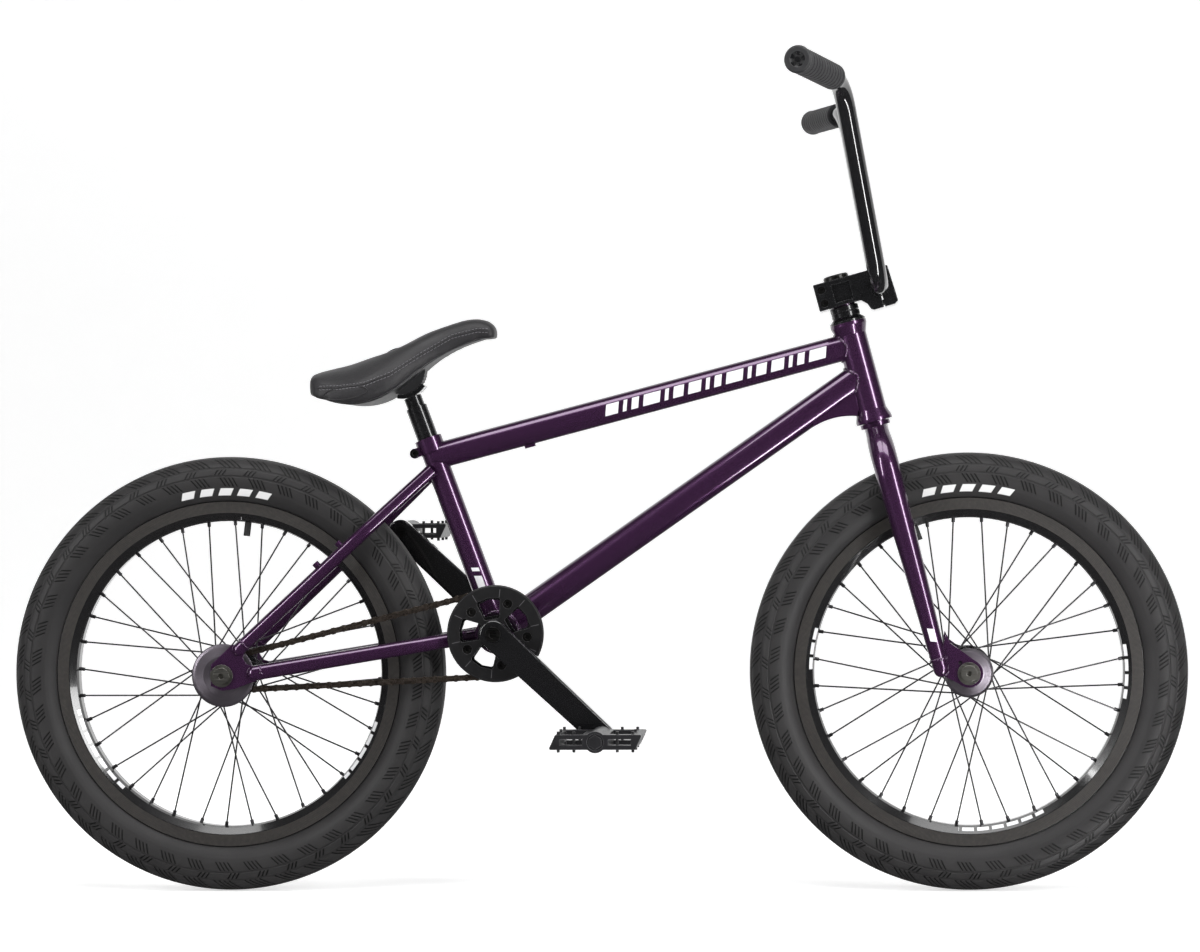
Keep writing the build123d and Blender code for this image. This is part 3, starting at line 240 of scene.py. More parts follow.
def striped_paint(name, back, front, marks, half_height):
    """The same paint with plain white bars on its side, in place of a graphic."""
    material = frame_paint(name)
    tree = material.node_tree
    shader = tree.nodes["Principled BSDF"]
    along_axis = (front - back).normalized()
    across_axis = Vector((-along_axis.z, 0, along_axis.x))
    offset = add(tree, "VectorMath", operation="SUBTRACT")
    feed(tree, offset.inputs[0], place(tree))
    offset.inputs[1].default_value = back
    readings = []
    for axis in (along_axis, across_axis):
        dot = add(tree, "VectorMath", operation="DOT_PRODUCT")
        tree.links.new(offset.outputs[0], dot.inputs[0])
        dot.inputs[1].default_value = axis
        readings.append(dot.outputs["Value"])
    along, across = readings
    slanted = calc(tree, "ADD", along, calc(tree, "MULTIPLY", across, -0.35))
    mask = None
    for low, high in marks:
        bar = inside(tree, slanted, low, high, 0.0004)
        mask = bar if mask is None else calc(tree, "ADD", mask, bar, clamp=True)
    mask = calc(tree, "MULTIPLY", mask, inside(tree, across, -half_height, half_height, 0.0004))
    paint = shader.inputs["Base Color"].links[0].from_socket
    feed(tree, shader.inputs["Base Color"], tints(tree, mask, paint, (0.82, 0.82, 0.84)))
    feed(tree, shader.inputs["Metallic"], spread(tree, mask, 0, 1, 0.7, 0.0))
    return material


def dark_finish(
    name, low, high, rough, metallic=0.0, coat=0.0, grain=90, edge=0.0006, wear=0.0, relief=0.06
):
    """Dark paint, anodising or plastic: clouded tone, uneven gloss, fine relief, worn edges."""
    material, tree, shader = new_material(
        name, Metallic=metallic, Coat_Weight=coat, Coat_Roughness=0.05, Specular_IOR_Level=0.5)
    cloud = noise(tree, grain, 4)
    tone = tints(tree, cloud, low, high)
    if wear:
        soft = add(tree, "Bevel", samples=4)
        soft.inputs["Radius"].default_value = edge * 2
        plain = add(tree, "NewGeometry")
        dot = add(tree, "VectorMath", operation="DOT_PRODUCT")
        tree.links.new(soft.outputs["Normal"], dot.inputs[0])
        tree.links.new(plain.outputs["Normal"], dot.inputs[1])
        rim = spread(tree, dot.outputs["Value"], 0.99, 0.8, 0.0, wear)
        paler = [min(1.0, channel * 3 + 0.09) for channel in high]
        tone = tints(tree, rim, tone, paler)
    feed(tree, shader.inputs["Base Color"], tone)
    gloss = spread(tree, noise(tree, grain * 5, 2), 0.3, 0.7, rough[0], rough[1])
    feed(tree, shader.inputs["Roughness"], gloss)
    bumped(tree, shader, noise(tree, grain * 7, 2), relief, 0.0003, edge=edge)
    return material


def marked_guard(name):
    """Dark grey satin guard with short scribed lines beside each window."""
    material = dark_finish(
        name, (0.014, 0.0138, 0.0145), (0.026, 0.0255, 0.027), (0.3, 0.42), metallic=0.5, wear=0.5)
    tree = material.node_tree
    shader = tree.nodes["Principled BSDF"]
    radius, angle, _ = about_axle(tree, bracket)
    lines = None
    for middle in (102, 30, -42, -114, 174):
        for side in (-18.5, 18.5):
            heading = radians((middle + side + 180) % 360 - 180)
            line = inside(tree, angle, heading - 0.0085, heading + 0.0085, 0.003)
            lines = line if lines is None else calc(tree, "ADD", lines, line, clamp=True)
    lines = calc(tree, "MULTIPLY", lines, inside(tree, radius, 0.043, 0.053, 0.0004))
    tone = shader.inputs["Base Color"].links[0].from_socket
    feed(tree, shader.inputs["Base Color"], tints(tree, lines, tone, (0.16, 0.155, 0.165)))
    return material


def brushed(name, low, high, rough, centre=None, edge=0.0005):
    """Machined metal: fine rings about an axle, or streaks where no centre is given."""
    material, tree, shader = new_material(name, Metallic=1.0)
    if centre is None:
        lines = noise(tree, 60, 4, vector=stretched(tree, (1, 14, 14)))
    else:
        radius, _, side = about_axle(tree, centre)
        joined = add(tree, "CombineXYZ")
        tree.links.new(radius, joined.inputs[0])
        tree.links.new(side, joined.inputs[1])
        lines = noise(tree, 1500, 2, vector=joined.outputs[0])
    feed(tree, shader.inputs["Base Color"], tints(tree, lines, low, high))
    feed(tree, shader.inputs["Roughness"], spread(tree, lines, 0.3, 0.7, rough[0], rough[1]))
    bumped(tree, shader, lines, 0.15, 0.0002, edge=edge)
    return material


def satin_guard(name, centre):
    """Hub guard: satin grey plastic turned in fine rings."""
    material, tree, shader = new_material(name, Metallic=0.85, Specular_IOR_Level=0.6, Anisotropic=0.75)
    tangent = add(tree, "Tangent", direction_type="RADIAL", axis="Y")
    tree.links.new(tangent.outputs["Tangent"], shader.inputs["Tangent"])
    radius, _, _ = about_axle(tree, centre)
    joined = add(tree, "CombineXYZ")
    tree.links.new(radius, joined.inputs[0])
    rings = noise(tree, 1300, 2, vector=joined.outputs[0])
    feed(tree, shader.inputs["Base Color"], tints(tree, rings, (0.10, 0.088, 0.105), (0.19, 0.17, 0.195)))
    feed(tree, shader.inputs["Roughness"], spread(tree, rings, 0.3, 0.7, 0.3, 0.42))
    bumped(tree, shader, rings, 0.2, 0.0002, edge=0.0008)
    return material


def tyre_rubber(name, centre):
    """Matte rubber with slanted sipes in two rows, painted near black as shade in the cuts, fine moulding
    lines and dusty tone.
    """
    material, tree, shader = new_material(name, Specular_IOR_Level=0.35)
    radius, angle, side = about_axle(tree, centre)
    up = calc(tree, "SUBTRACT", radius, wheel_radius - tyre_section)
    around = calc(tree, "ARCTAN2", calc(tree, "ABSOLUTE", side), up)
    turns = calc(tree, "MULTIPLY", angle, tread_groups / (2 * pi))
    sipes = None
    for low, high, slant, start, share, count in tread_rows:
        leaning = calc(tree, "ADD", turns, calc(tree, "MULTIPLY", around, slant))
        group = calc(tree, "FRACT", calc(tree, "ADD", leaning, start))
        cuts = calc(tree, "FRACT", calc(tree, "MULTIPLY", group, count / share))
        single = inside(tree, cuts, 0.1, 0.62, 0.12)
        cut = calc(tree, "MULTIPLY", single, inside(tree, group, 0.0, share, 0.004))
        cut = calc(tree, "MULTIPLY", cut, inside(tree, around, low, high, 0.02))
        sipes = cut if sipes is None else calc(tree, "ADD", sipes, cut, clamp=True)
    dust = noise(tree, 26, 5)
    fine = noise(tree, 900, 3)
    rubber = tints(tree, dust, (0.0165, 0.0158, 0.0165), (0.029, 0.0275, 0.028))
    # the sipes are painted near black: painted shade in the cuts, on top of their bump
    rubber = tints(tree, sipes, rubber, (0.002, 0.002, 0.002))
    mark = None
    for turn in range(5):
        middle = radians(90 + (turn - 2) * 6)
        lean = calc(tree, "MULTIPLY", calc(tree, "SUBTRACT", radius, 0.218), 2.2)
        bar = inside(tree, calc(tree, "ADD", angle, lean), middle - 0.036, middle + 0.036, 0.002)
        mark = bar if mark is None else calc(tree, "ADD", mark, bar, clamp=True)
    mark = calc(tree, "MULTIPLY", mark, inside(tree, radius, 0.2135, 0.2225, 0.0004))
    mark = calc(tree, "MULTIPLY", mark, inside(tree, around, radians(90), radians(150), 0.02))
    feed(tree, shader.inputs["Base Color"], tints(tree, mark, rubber, (0.62, 0.62, 0.62)))
    feed(tree, shader.inputs["Roughness"], spread(tree, fine, 0.3, 0.7, 0.46, 0.62))
    height = calc(tree, "ADD", calc(tree, "MULTIPLY", sipes, -1.0), calc(tree, "MULTIPLY", fine, 0.06))
    bumped(tree, shader, height, 0.9, 0.0011)
    return material


def rim_finish(name, centre, arcs):
    """Gloss black rim with a ridged grey brake band and plain white arcs in place of a graphic."""
    material, tree, shader = new_material(
        name, Coat_Roughness=0.05, Coat_Weight=0.6, Specular_IOR_Level=0.5)
    radius, angle, _ = about_axle(tree, centre)
    band = inside(tree, radius, 0.1925, 0.2062, 0.0005)
    ridges = calc(tree, "FRACT", calc(tree, "MULTIPLY", angle, 900 / (2 * pi)))
    ridge = inside(tree, ridges, 0.05, 0.6, 0.2)
    grain = noise(tree, 240, 3)
    grey = tints(tree, calc(tree, "MULTIPLY", ridge, grain), (0.010, 0.009, 0.0085), (0.085, 0.072, 0.062))
    black = tints(tree, grain, (0.006, 0.006, 0.0065), (0.012, 0.0115, 0.012))
    colour = tints(tree, band, black, grey)
    mask = None
    for middle, half in arcs:
        turned = calc(tree, "SUBTRACT", angle, radians(middle))
        stripe = inside(tree, turned, -radians(half), radians(half), 0.002)
        mask = stripe if mask is None else calc(tree, "ADD", mask, stripe, clamp=True)
    dashes = calc(tree, "FRACT", calc(tree, "MULTIPLY", angle, 66 / (2 * pi)))
    mask = calc(tree, "MULTIPLY", mask, inside(tree, dashes, 0.0, 0.82, 0.04))
    mask = calc(tree, "MULTIPLY", mask, inside(tree, radius, 0.1845, 0.1888, 0.0004))
    feed(tree, shader.inputs["Base Color"], tints(tree, mask, colour, (0.72, 0.72, 0.73)))
    feed(tree, shader.inputs["Roughness"], spread(tree, band, 0, 1, 0.16, 0.55))
    bumped(tree, shader, calc(tree, "MULTIPLY", ridge, band), 0.5, 0.0003, edge=0.0006)
    return material


def chain_steel(name):
    """Oiled dark steel: each link its own tone, darker oily patches at random."""
    material, tree, shader = new_material(name, Metallic=0.9)
    link = add(tree, "NewGeometry").outputs["Random Per Island"]
    oil = noise(tree, 420, 4)
    tone = tints(tree, link, (0.075, 0.058, 0.048), (0.2, 0.165, 0.14))
    feed(tree, shader.inputs["Base Color"], tints(tree, oil, (0.03, 0.024, 0.02), tone))
    feed(tree, shader.inputs["Roughness"], spread(tree, oil, 0.3, 0.7, 0.26, 0.5))
    bumped(tree, shader, oil, 0.2, 0.0003, edge=0.0004)
    return material


def grip_rubber(name):
    """Soft dark grey rubber with a knurled skin."""
    material, tree, shader = new_material(
        name, Specular_IOR_Level=0.3, Sheen_Weight=0.05, Sheen_Roughness=0.5)
    knurl = cells(tree, 620)
    dust = noise(tree, 60, 4)
    tone = tints(tree, dust, (0.0085, 0.008, 0.0095), (0.017, 0.0165, 0.019))
    feed(tree, shader.inputs["Base Color"], tone)
    feed(tree, shader.inputs["Roughness"], spread(tree, dust, 0.3, 0.7, 0.58, 0.74))
    bumped(tree, shader, knurl, 0.55, 0.0006, edge=0.0005)
    return material


def saddle_cover(name):
    """Dark grey grained cover, with pebbled leather grain and slight sheen."""
    material, tree, shader = new_material(
        name, Specular_IOR_Level=0.4, Sheen_Weight=0.04, Sheen_Roughness=0.45)
    pebble = cells(tree, 760, feature="SMOOTH_F1")
    cloud = noise(tree, 34, 5)
    fine = noise(tree, 1500, 3)
    tone = tints(tree, cloud, (0.0095, 0.009, 0.0098), (0.018, 0.017, 0.019))
    paler = spread(tree, pebble, 0.2, 0.6, 0, 0.5)
    feed(tree, shader.inputs["Base Color"], tints(tree, paler, tone, (0.026, 0.0245, 0.0275)))
    feed(tree, shader.inputs["Roughness"], spread(tree, cloud, 0.3, 0.7, 0.42, 0.56))
    height = calc(tree, "ADD", pebble, calc(tree, "MULTIPLY", fine, 0.3))
    bumped(tree, shader, height, 0.4, 0.0005)
    return material


def thread(name, colour):
    material, tree, shader = new_material(name, Sheen_Weight=0.3)
    twist = noise(tree, 3000, 2)
    paler = tuple(min(1.0, channel * 1.5) for channel in colour)
    feed(tree, shader.inputs["Base Color"], tints(tree, twist, colour, paler))
    feed(tree, shader.inputs["Roughness"], spread(tree, twist, 0.3, 0.7, 0.6, 0.8))
    bumped(tree, shader, twist, 0.4, 0.0002)
    return material


def bar_marks(start, end):
    """Plain bars of uneven length that fill a stretch of tube."""
    marks = []
    lengths = (0.016, 0.005, 0.009, 0.021, 0.005, 0.013)
    while start < end:
        length = lengths[len(marks) % len(lengths)]
        marks.append((start, start + length))
        start += length + 0.0055
    return marks


finishes = {
    "frame_paint": frame_paint(),
    "gloss_black": dark_finish(
        "gloss_black", (0.004, 0.004, 0.0045), (0.009, 0.009, 0.010), (0.1, 0.16),
        coat=1.0, grain=14, edge=0.0013, relief=0.03),
    "crank_black": dark_finish(
        "crank_black", (0.003, 0.003, 0.0035), (0.007, 0.007, 0.0078), (0.16, 0.24),
        coat=1.0, grain=14, edge=0.0, relief=0.03),
    "black_alloy": dark_finish(
        "black_alloy", (0.010, 0.010, 0.011), (0.02, 0.02, 0.022), (0.2, 0.34),
        metallic=0.6, coat=0.8, wear=0.5),
    "guard_grey": marked_guard("sprocket_guard_finish"),
    "bolt_steel": brushed("bolt_steel", (0.20, 0.19, 0.17), (0.42, 0.41, 0.38), (0.25, 0.42)),
    "dark_bolt": brushed("dark_bolt", (0.03, 0.03, 0.03), (0.075, 0.073, 0.07), (0.25, 0.4)),
    "bright_steel": brushed("bright_steel", (0.4, 0.4, 0.4), (0.6, 0.6, 0.6), (0.18, 0.3)),
    "spoke_black": dark_finish(
        "spoke_black", (0.035, 0.034, 0.036), (0.06, 0.058, 0.062), (0.25, 0.4), metallic=0.8, edge=0.0002),
    "plastic_black": dark_finish(
        "plastic_black", (0.012, 0.012, 0.013), (0.022, 0.022, 0.024), (0.42, 0.58), wear=0.35),
    "pedal_plastic": dark_finish(
        "pedal_plastic", (0.009, 0.0088, 0.010), (0.019, 0.0185, 0.021), (0.3, 0.42), wear=0.5),
    "tube_rubber": dark_finish(
        "tube_rubber", (0.010, 0.010, 0.010), (0.018, 0.018, 0.018), (0.55, 0.7)),
    "chain": chain_steel("chain_steel"),
    "grip": grip_rubber("grip_rubber"),
    "front_guard": satin_guard("front_guard_plastic", front_axle),
    "rear_guard": satin_guard("rear_guard_plastic", rear_axle),
    "front_rim": rim_finish("front_rim_finish", front_axle, ((180, 17), (0, 10), (-78, 16))),
    "rear_rim": rim_finish("rear_rim_finish", rear_axle, ((-150, 17), (-30, 12), (85, 0.1))),
    "front_tyre": tyre_rubber("front_tyre_rubber", front_axle),
    "rear_tyre": tyre_rubber("rear_tyre_rubber", rear_axle),
    "saddle": saddle_cover("saddle_cover"),
    "stitch": thread("stitch_thread", (0.11, 0.105, 0.115)),
    "bars": striped_paint("top_tube_paint", top_tube_back, top_tube_front, bar_marks(0.215, 0.468), 0.0068),
    "seat_tube_bars": striped_paint(
        "seat_tube_paint", bracket, bracket + seat_axis, bar_marks(0.056, 0.08), 0.0045),
    "fork_bars": striped_paint("fork_leg_paint", fork_tip, fork_shoulder, bar_marks(0.034, 0.052), 0.004),
}

node_finishes = {
    "frame_paint": ("head_tube", "down_tube", "bb_shell", "down_tube_gusset", "seat_stays", "chain_stays",
                    "rear_dropouts", "seat_collar", "brake_bosses", "steerer_tube", "fork_dropouts"),
    "bars": ("top_tube",),
    "seat_tube_bars": ("seat_tube",),
    "fork_bars": ("fork_legs",),
    "gloss_black": ("handlebar", "crossbar"),
    "crank_black": ("crank_arm_left", "crank_arm_right"),
    "black_alloy": ("headset_spacers", "stem_body", "stem_faceplate", "sprocket", "seat_post",
                    "front_hub_shell", "rear_hub_shell"),
    "guard_grey": ("sprocket_guard",),
    "bolt_steel": ("front_axle_bolts", "rear_axle_bolts", "driver"),
    "dark_bolt": ("crank_bolts", "stem_bolts", "seat_collar_bolt", "seat_pivot_bolt", "pedal_axles"),
    "bright_steel": ("bottom_bracket", "headset_bearings", "rear_axle", "front_axle", "crank_spindle",
                     "front_hub_bearings", "rear_hub_bearings"),
    "spoke_black": ("front_spokes", "rear_spokes", "front_nipples", "rear_nipples"),
    "plastic_black": ("bar_end_plugs", "seat_base"),
    "pedal_plastic": ("pedal_left", "pedal_right"),
    "tube_rubber": ("front_inner_tube", "rear_inner_tube"),
    "chain": ("chain",),
    "grip": ("grips",),
    "front_guard": ("front_hub_guards",),
    "rear_guard": ("rear_hub_guards",),
    "front_rim": ("front_rim",),
    "rear_rim": ("rear_rim",),
    "front_tyre": ("front_tyre",),
    "rear_tyre": ("rear_tyre",),
    "saddle": ("seat_padding",),
}


def dress(obj, finish):
    obj.data.materials.clear()
    obj.data.materials.append(finishes[finish])


for finish, members in node_finishes.items():
    for member in members:
        dress(nodes[member], finish)


# ---------------------------------------------------------------- mesh helpers

def make_object(name, points, faces, finish, body):
    mesh = bpy.data.meshes.new(name)
    mesh.from_pydata(points, [], faces)
    mesh.validate()
    mesh.shade_smooth()
    obj = bpy.data.objects.new(name, mesh)
    bpy.context.scene.collection.objects.link(obj)
    dress(obj, finish)
    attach(obj, body)
    return obj


def grid_faces(rows, columns, wrap_rows, wrap_columns):
    """Quads between rows of points laid out in order."""
    faces = []
    for row in range(rows if wrap_rows else rows - 1):
        for column in range(columns if wrap_columns else columns - 1):
            below, beside = (row + 1) % rows, (column + 1) % columns
            faces.append((row * columns + column, row * columns + beside,
                          below * columns + beside, below * columns + column))
    return faces


def tube_along(points, radius_at, sides=10, closed=True):
    """Points of a tube that follows a closed or open line, radius_at(number) thick."""
    count = len(points)
    rings = []
    side_way = None
    for number, point in enumerate(points):
        if closed:
            along = points[(number + 1) % count] - points[number - 1]
        else:
            along = points[min(number + 1, count - 1)] - points[max(number - 1, 0)]
        along.normalize()
        if side_way is None:
            side_way = along.orthogonal()
        side_way = (side_way - along * side_way.dot(along)).normalized()
        up_way = along.cross(side_way)
        radius = radius_at(number)
        for step in range(sides):
            angle = 2 * pi * step / sides
            rings.append(point + (side_way * cos(angle) + up_way * sin(angle)) * radius)
    faces = grid_faces(count, sides, closed, True)
    if not closed:
        faces.append(tuple(range(sides - 1, -1, -1)))
        faces.append(tuple((count - 1) * sides + step for step in range(sides)))
    return rings, faces


# ---------------------------------------------------------------- tyres

def build_tyre(name, centre, body):
    """Tyre with a rounded crown cut by grooves that run all the way round."""
    section_centre = wheel_radius - tyre_section
    foot_angle = pi - acos(sqrt(tyre_section ** 2 - bead_half_width ** 2) / tyre_section)
    angles = set()
    for step in range(49):
        angles.add(round(foot_angle * step / 48, 5))
    for groove in tread_grooves:
        for offset in (-0.06, -0.035, 0.035, 0.06):
            angles.add(round(abs(groove + offset), 5))
    half = sorted(angles)
    profile = []
    for around in [-angle for angle in reversed(half[1:])] + half:
        depth = 0.0
        for groove in tread_grooves:
            if abs(abs(around) - groove) < 0.045:
                depth = groove_depth
        ridge = 0.0005 if radians(108) < abs(around) < radians(112) else 0.0
        radius = tyre_section - depth - 0.0002 + min(ridge, 0.0002)
        profile.append((radius * sin(around), section_centre + radius * cos(around)))
    inner = tyre_section - tyre_wall
    for step in range(17):
        around = radians(140) - radians(280) * step / 16
        profile.append((inner * sin(around) * 0.8, section_centre + inner * cos(around)))
    steps = 288
    points = []
    for step in range(steps):
        angle = 2 * pi * step / steps
        for side, radius in profile:
            points.append(centre + Vector((cos(angle) * radius, side, sin(angle) * radius)))
    faces = grid_faces(steps, len(profile), True, True)
    tyre = make_object(name, points, faces, name.replace("_cover", ""), body)
    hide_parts(name.replace("_cover", ""))
    return tyre


build_tyre("front_tyre_cover", front_axle, "front_wheel")
build_tyre("rear_tyre_cover", rear_axle, "rear_wheel")


# ---------------------------------------------------------------- weld beads

def surface_of(obj):
    mesh = obj.data
    return BVHTree.FromPolygons([v.co for v in mesh.vertices], [p.vertices for p in mesh.polygons])


def weld(name, start, direction, radius, target, body, finish="frame_paint"):
    """Rippled bead where a tube, seen along its own direction, runs into another piece."""
    surface = surface_of(nodes[target])
    direction = direction.normalized()
    side_way = direction.orthogonal().normalized()
    up_way = direction.cross(side_way)
    count = max(60, int(radius * 9000))
    line = []
    for number in range(count):
        angle = 2 * pi * number / count
        edge = start + (side_way * cos(angle) + up_way * sin(angle)) * radius
        hit = surface.ray_cast(edge, direction, 0.2)[0]
        if hit is None:
            break
        line.append(hit)
    if len(line) == count:
        points, faces = tube_along(line, lambda number: 0.0018 + 0.0004 * abs(sin(number * pi / 6)))
        make_object(name, points, faces, finish, body)


def ring_bead(name, centre, direction, radius, body):
    """Rippled bead round a tube."""
    direction = direction.normalized()
    side_way = direction.orthogonal().normalized()
    up_way = direction.cross(side_way)
    line = []
    for number in range(96):
        angle = 2 * pi * number / 96
        line.append(centre + (side_way * cos(angle) + up_way * sin(angle)) * radius)
    points, faces = tube_along(line, lambda number: 0.0014 + 0.0004 * abs(sin(number * pi / 6)))
    make_object(name, points, faces, "frame_paint", body)


def build_welds():
    top_slope = (top_tube_front - top_tube_back).normalized()
    down_slope = (down_tube_front - down_tube_back).normalized()
    joints = (
        ("top_tube_front", top_tube_front - top_slope * 0.09, top_slope, top_tube_radius, "head_tube"),
        ("top_tube_back", top_tube_back + top_slope * 0.09, -top_slope, top_tube_radius, "seat_tube"),
        ("down_tube_front", down_tube_front - down_slope * 0.15, down_slope, down_tube_radius, "head_tube"),
        ("down_tube_back", down_tube_back + down_slope * 0.09, -down_slope, down_tube_radius, "bb_shell"),
        ("seat_tube_foot", bracket + seat_axis * 0.09, -seat_axis, seat_tube_radius, "bb_shell"),
    )
    for place_name, start, direction, radius, target in joints:
        weld(f"weld_{place_name}", start, direction, radius, target, "frame")
    for side, label in ((1, "left"), (-1, "right")):
        chain_low = Vector((-0.17402, side * 0.0295, 0.3003))
        chain_top = Vector((-0.13651, side * 0.026, 0.30639))
        weld(f"weld_chain_stay_{label}", chain_low, chain_top - chain_low, stay_radius, "bb_shell", "frame")
        riser = Vector((crossbar_place.x, side * 0.1, crossbar_place.z))
        outward = Vector((0, side, 0))
        weld(f"weld_crossbar_{label}", riser, outward, crossbar_radius, "handlebar", "fork",
             "gloss_black")
        stays = (
            ("seat_stay", (-0.42165, 0.0575, 0.291), (-0.27757, 0.0435, 0.42566)),
            ("chain_stay", (-0.40365, 0.0575, 0.263), (-0.21745, 0.0435, 0.29324)),
        )
        for label_end, foot, bend in stays:
            foot = Vector((foot[0], side * foot[1], foot[2]))
            bend = Vector((bend[0], side * bend[1], bend[2]))
            back = (bend - foot).normalized()
            ring_bead(f"weld_{label_end}_end_{label}", foot + back * 0.009, back, 0.0077, "frame")
        leg_top = Vector((0.34959, side * 0.048, 0.49122))
        leg_tip = Vector((0.40917, side * 0.053, 0.26493))
        up_leg = (leg_top - leg_tip).normalized()
        ring_bead(f"weld_fork_tip_{label}", leg_tip + up_leg * 0.012, up_leg, 0.0095, "fork")


build_welds()


# ---------------------------------------------------------------- saddle cover

def copy_of(node, name):
    obj = nodes[node].copy()
    obj.data = nodes[node].data.copy()
    obj.name = name
    obj.data.name = name
    obj.parent = None
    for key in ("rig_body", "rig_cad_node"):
        if key in obj:
            del obj[key]
    obj.hide_render = False
    bpy.context.scene.collection.objects.link(obj)
    return obj


def apply_modifiers(obj):
    graph = bpy.context.evaluated_depsgraph_get()
    graph.update()
    mesh = bpy.data.meshes.new_from_object(obj.evaluated_get(graph))
    obj.modifiers.clear()
    obj.data = mesh


def inflate(obj, pressure, cap):
    """Swells a padded cover by cloth pressure, no point moving further than cap."""
    start = [vertex.co.copy() for vertex in obj.data.vertices]
    cloth = obj.modifiers.new("cloth", "CLOTH")
    cloth.settings.use_pressure = True
    cloth.settings.uniform_pressure_force = pressure
    cloth.settings.effector_weights.gravity = 0
    cloth.settings.tension_stiffness = 30
    cloth.settings.bending_stiffness = 2
    scene = bpy.context.scene
    for number in range(1, 21):
        scene.frame_set(number)
    apply_modifiers(obj)
    scene.frame_set(1)
    for vertex, first in zip(obj.data.vertices, start):
        move = vertex.co - first
        if move.length > cap:
            vertex.co = first + move.normalized() * cap


def blunt_ends(obj):
    """Fills out the back and the nose of the cover, which are full and rounded on the real seat."""
    (back, _, _), (front, _, _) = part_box("seat_padding")
    for vertex in obj.data.vertices:
        near_back = max(0.0, 1 - (vertex.co.x - back) / 0.050) ** 2
        near_front = max(0.0, 1 - (front - vertex.co.x) / 0.018)
        rising = 1 if vertex.co.z > 0.6035 else -0.55
        vertex.co.z += 0.0085 * near_back * rising
        vertex.co.z -= 0.0045 * near_front * (vertex.co.z < 0.667)
        vertex.co.y *= 1 + 0.3 * near_back ** 2 + 0.45 * near_front ** 2


def build_saddle():
    """Padded saddle cover: CAD shape, remeshed, softened and swollen like stretched foam."""
    cover = copy_of("seat_padding", "saddle_cover")
    blunt_ends(cover)
    remesh = cover.modifiers.new("remesh", "REMESH")
    remesh.mode = "VOXEL"
    remesh.voxel_size = 0.004
    apply_modifiers(cover)
    smooth = cover.modifiers.new("smooth", "SMOOTH")
    smooth.factor = 0.5
    smooth.iterations = 4
    apply_modifiers(cover)
    inflate(cover, 4.0, 0.0025)
    smooth = cover.modifiers.new("smooth", "SMOOTH")
    smooth.factor = 0.5
    smooth.iterations = 3
    apply_modifiers(cover)
    finer = cover.modifiers.new("finer", "SUBSURF")
    finer.levels = 1
    finer.render_levels = 1
    apply_modifiers(cover)
    cover.data.shade_smooth()
    dress(cover, "saddle")
    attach(cover, "seat")
    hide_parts("seat_padding")
    return cover


def side_points(surface, places, side):
    """Points on the saddle's skin reached by looking inwards from one side."""
    found = []
    for x, z in places:
        hit, normal, _, _ = surface.ray_cast(Vector((x, side * 0.15, z)), Vector((0, -side, 0)))
        if hit is not None:
            found.append((hit, normal))
    return found


def between(stations, x):
    """Straight-line reading of a table of (x, height)."""
    for (x0, z0), (x1, z1) in zip(stations, stations[1:]):
        if x0 <= x <= x1:
            return z0 + (z1 - z0) * (x - x0) / (x1 - x0)
    return stations[-1][1]


crease_stations = (
    (-0.330, 0.600), (-0.300, 0.6005), (-0.270, 0.604), (-0.240, 0.616),
    (-0.205, 0.640), (-0.170, 0.661), (-0.140, 0.6685), (-0.124, 0.668),
)
panel_centre, panel_half_length, panel_half_height = (-0.292, 0.594), 0.026, 0.0075


def build_seams(cover):
    """Two stitched seams along the sides and a piped oval panel on each side at the back."""
    surface = surface_of(cover)
    for side, label in ((-1, "right"), (1, "left")):
        count = 150
        places = []
        for number in range(count):
            x = -0.326 + (0.326 - 0.126) * number / (count - 1)
            places.append((x, between(crease_stations, x)))
        line = side_points(surface, places, side)
        if len(line) > 10:
            raised = [hit + normal * 0.0001 for hit, normal in line]
            points, faces = tube_along(raised, lambda number: 0.0006, 8, False)
            seam = make_object(f"saddle_seam_{label}", points, faces, "saddle", "seat")
            seam.data.shade_smooth()
            all_points, all_faces = [], []
            for offset in (-0.0022, 0.0022):
                shifted = side_points(surface, [(x, z + offset) for x, z in places], side)
                for number in range(2, len(shifted) - 3, 3):
                    first, normal = shifted[number]
                    last = shifted[number + 2][0]
                    span = [first + (last - first) * share + normal * 0.0003 for share in (0, 0.5, 1)]
                    points, faces = tube_along(span, lambda number: 0.00035, 6, False)
                    base = len(all_points)
                    all_points += points
                    all_faces += [tuple(corner + base for corner in face) for face in faces]
            make_object(f"saddle_stitches_{label}", all_points, all_faces, "stitch", "seat")
        ring = []
        for number in range(72):
            angle = 2 * pi * number / 72
            x = panel_centre[0] + panel_half_length * cos(angle)
            ring.append((x, panel_centre[1] + panel_half_height * sin(angle) + (x - panel_centre[0]) * 0.12))
        line = side_points(surface, ring, side)
        if len(line) == 72:
            points, faces = tube_along([hit for hit, _ in line], lambda number: 0.0009, 8, True)
            make_object(f"saddle_piping_{label}", points, faces, "saddle", "seat")


build_seams(build_saddle())


# ---------------------------------------------------------------- bar ends

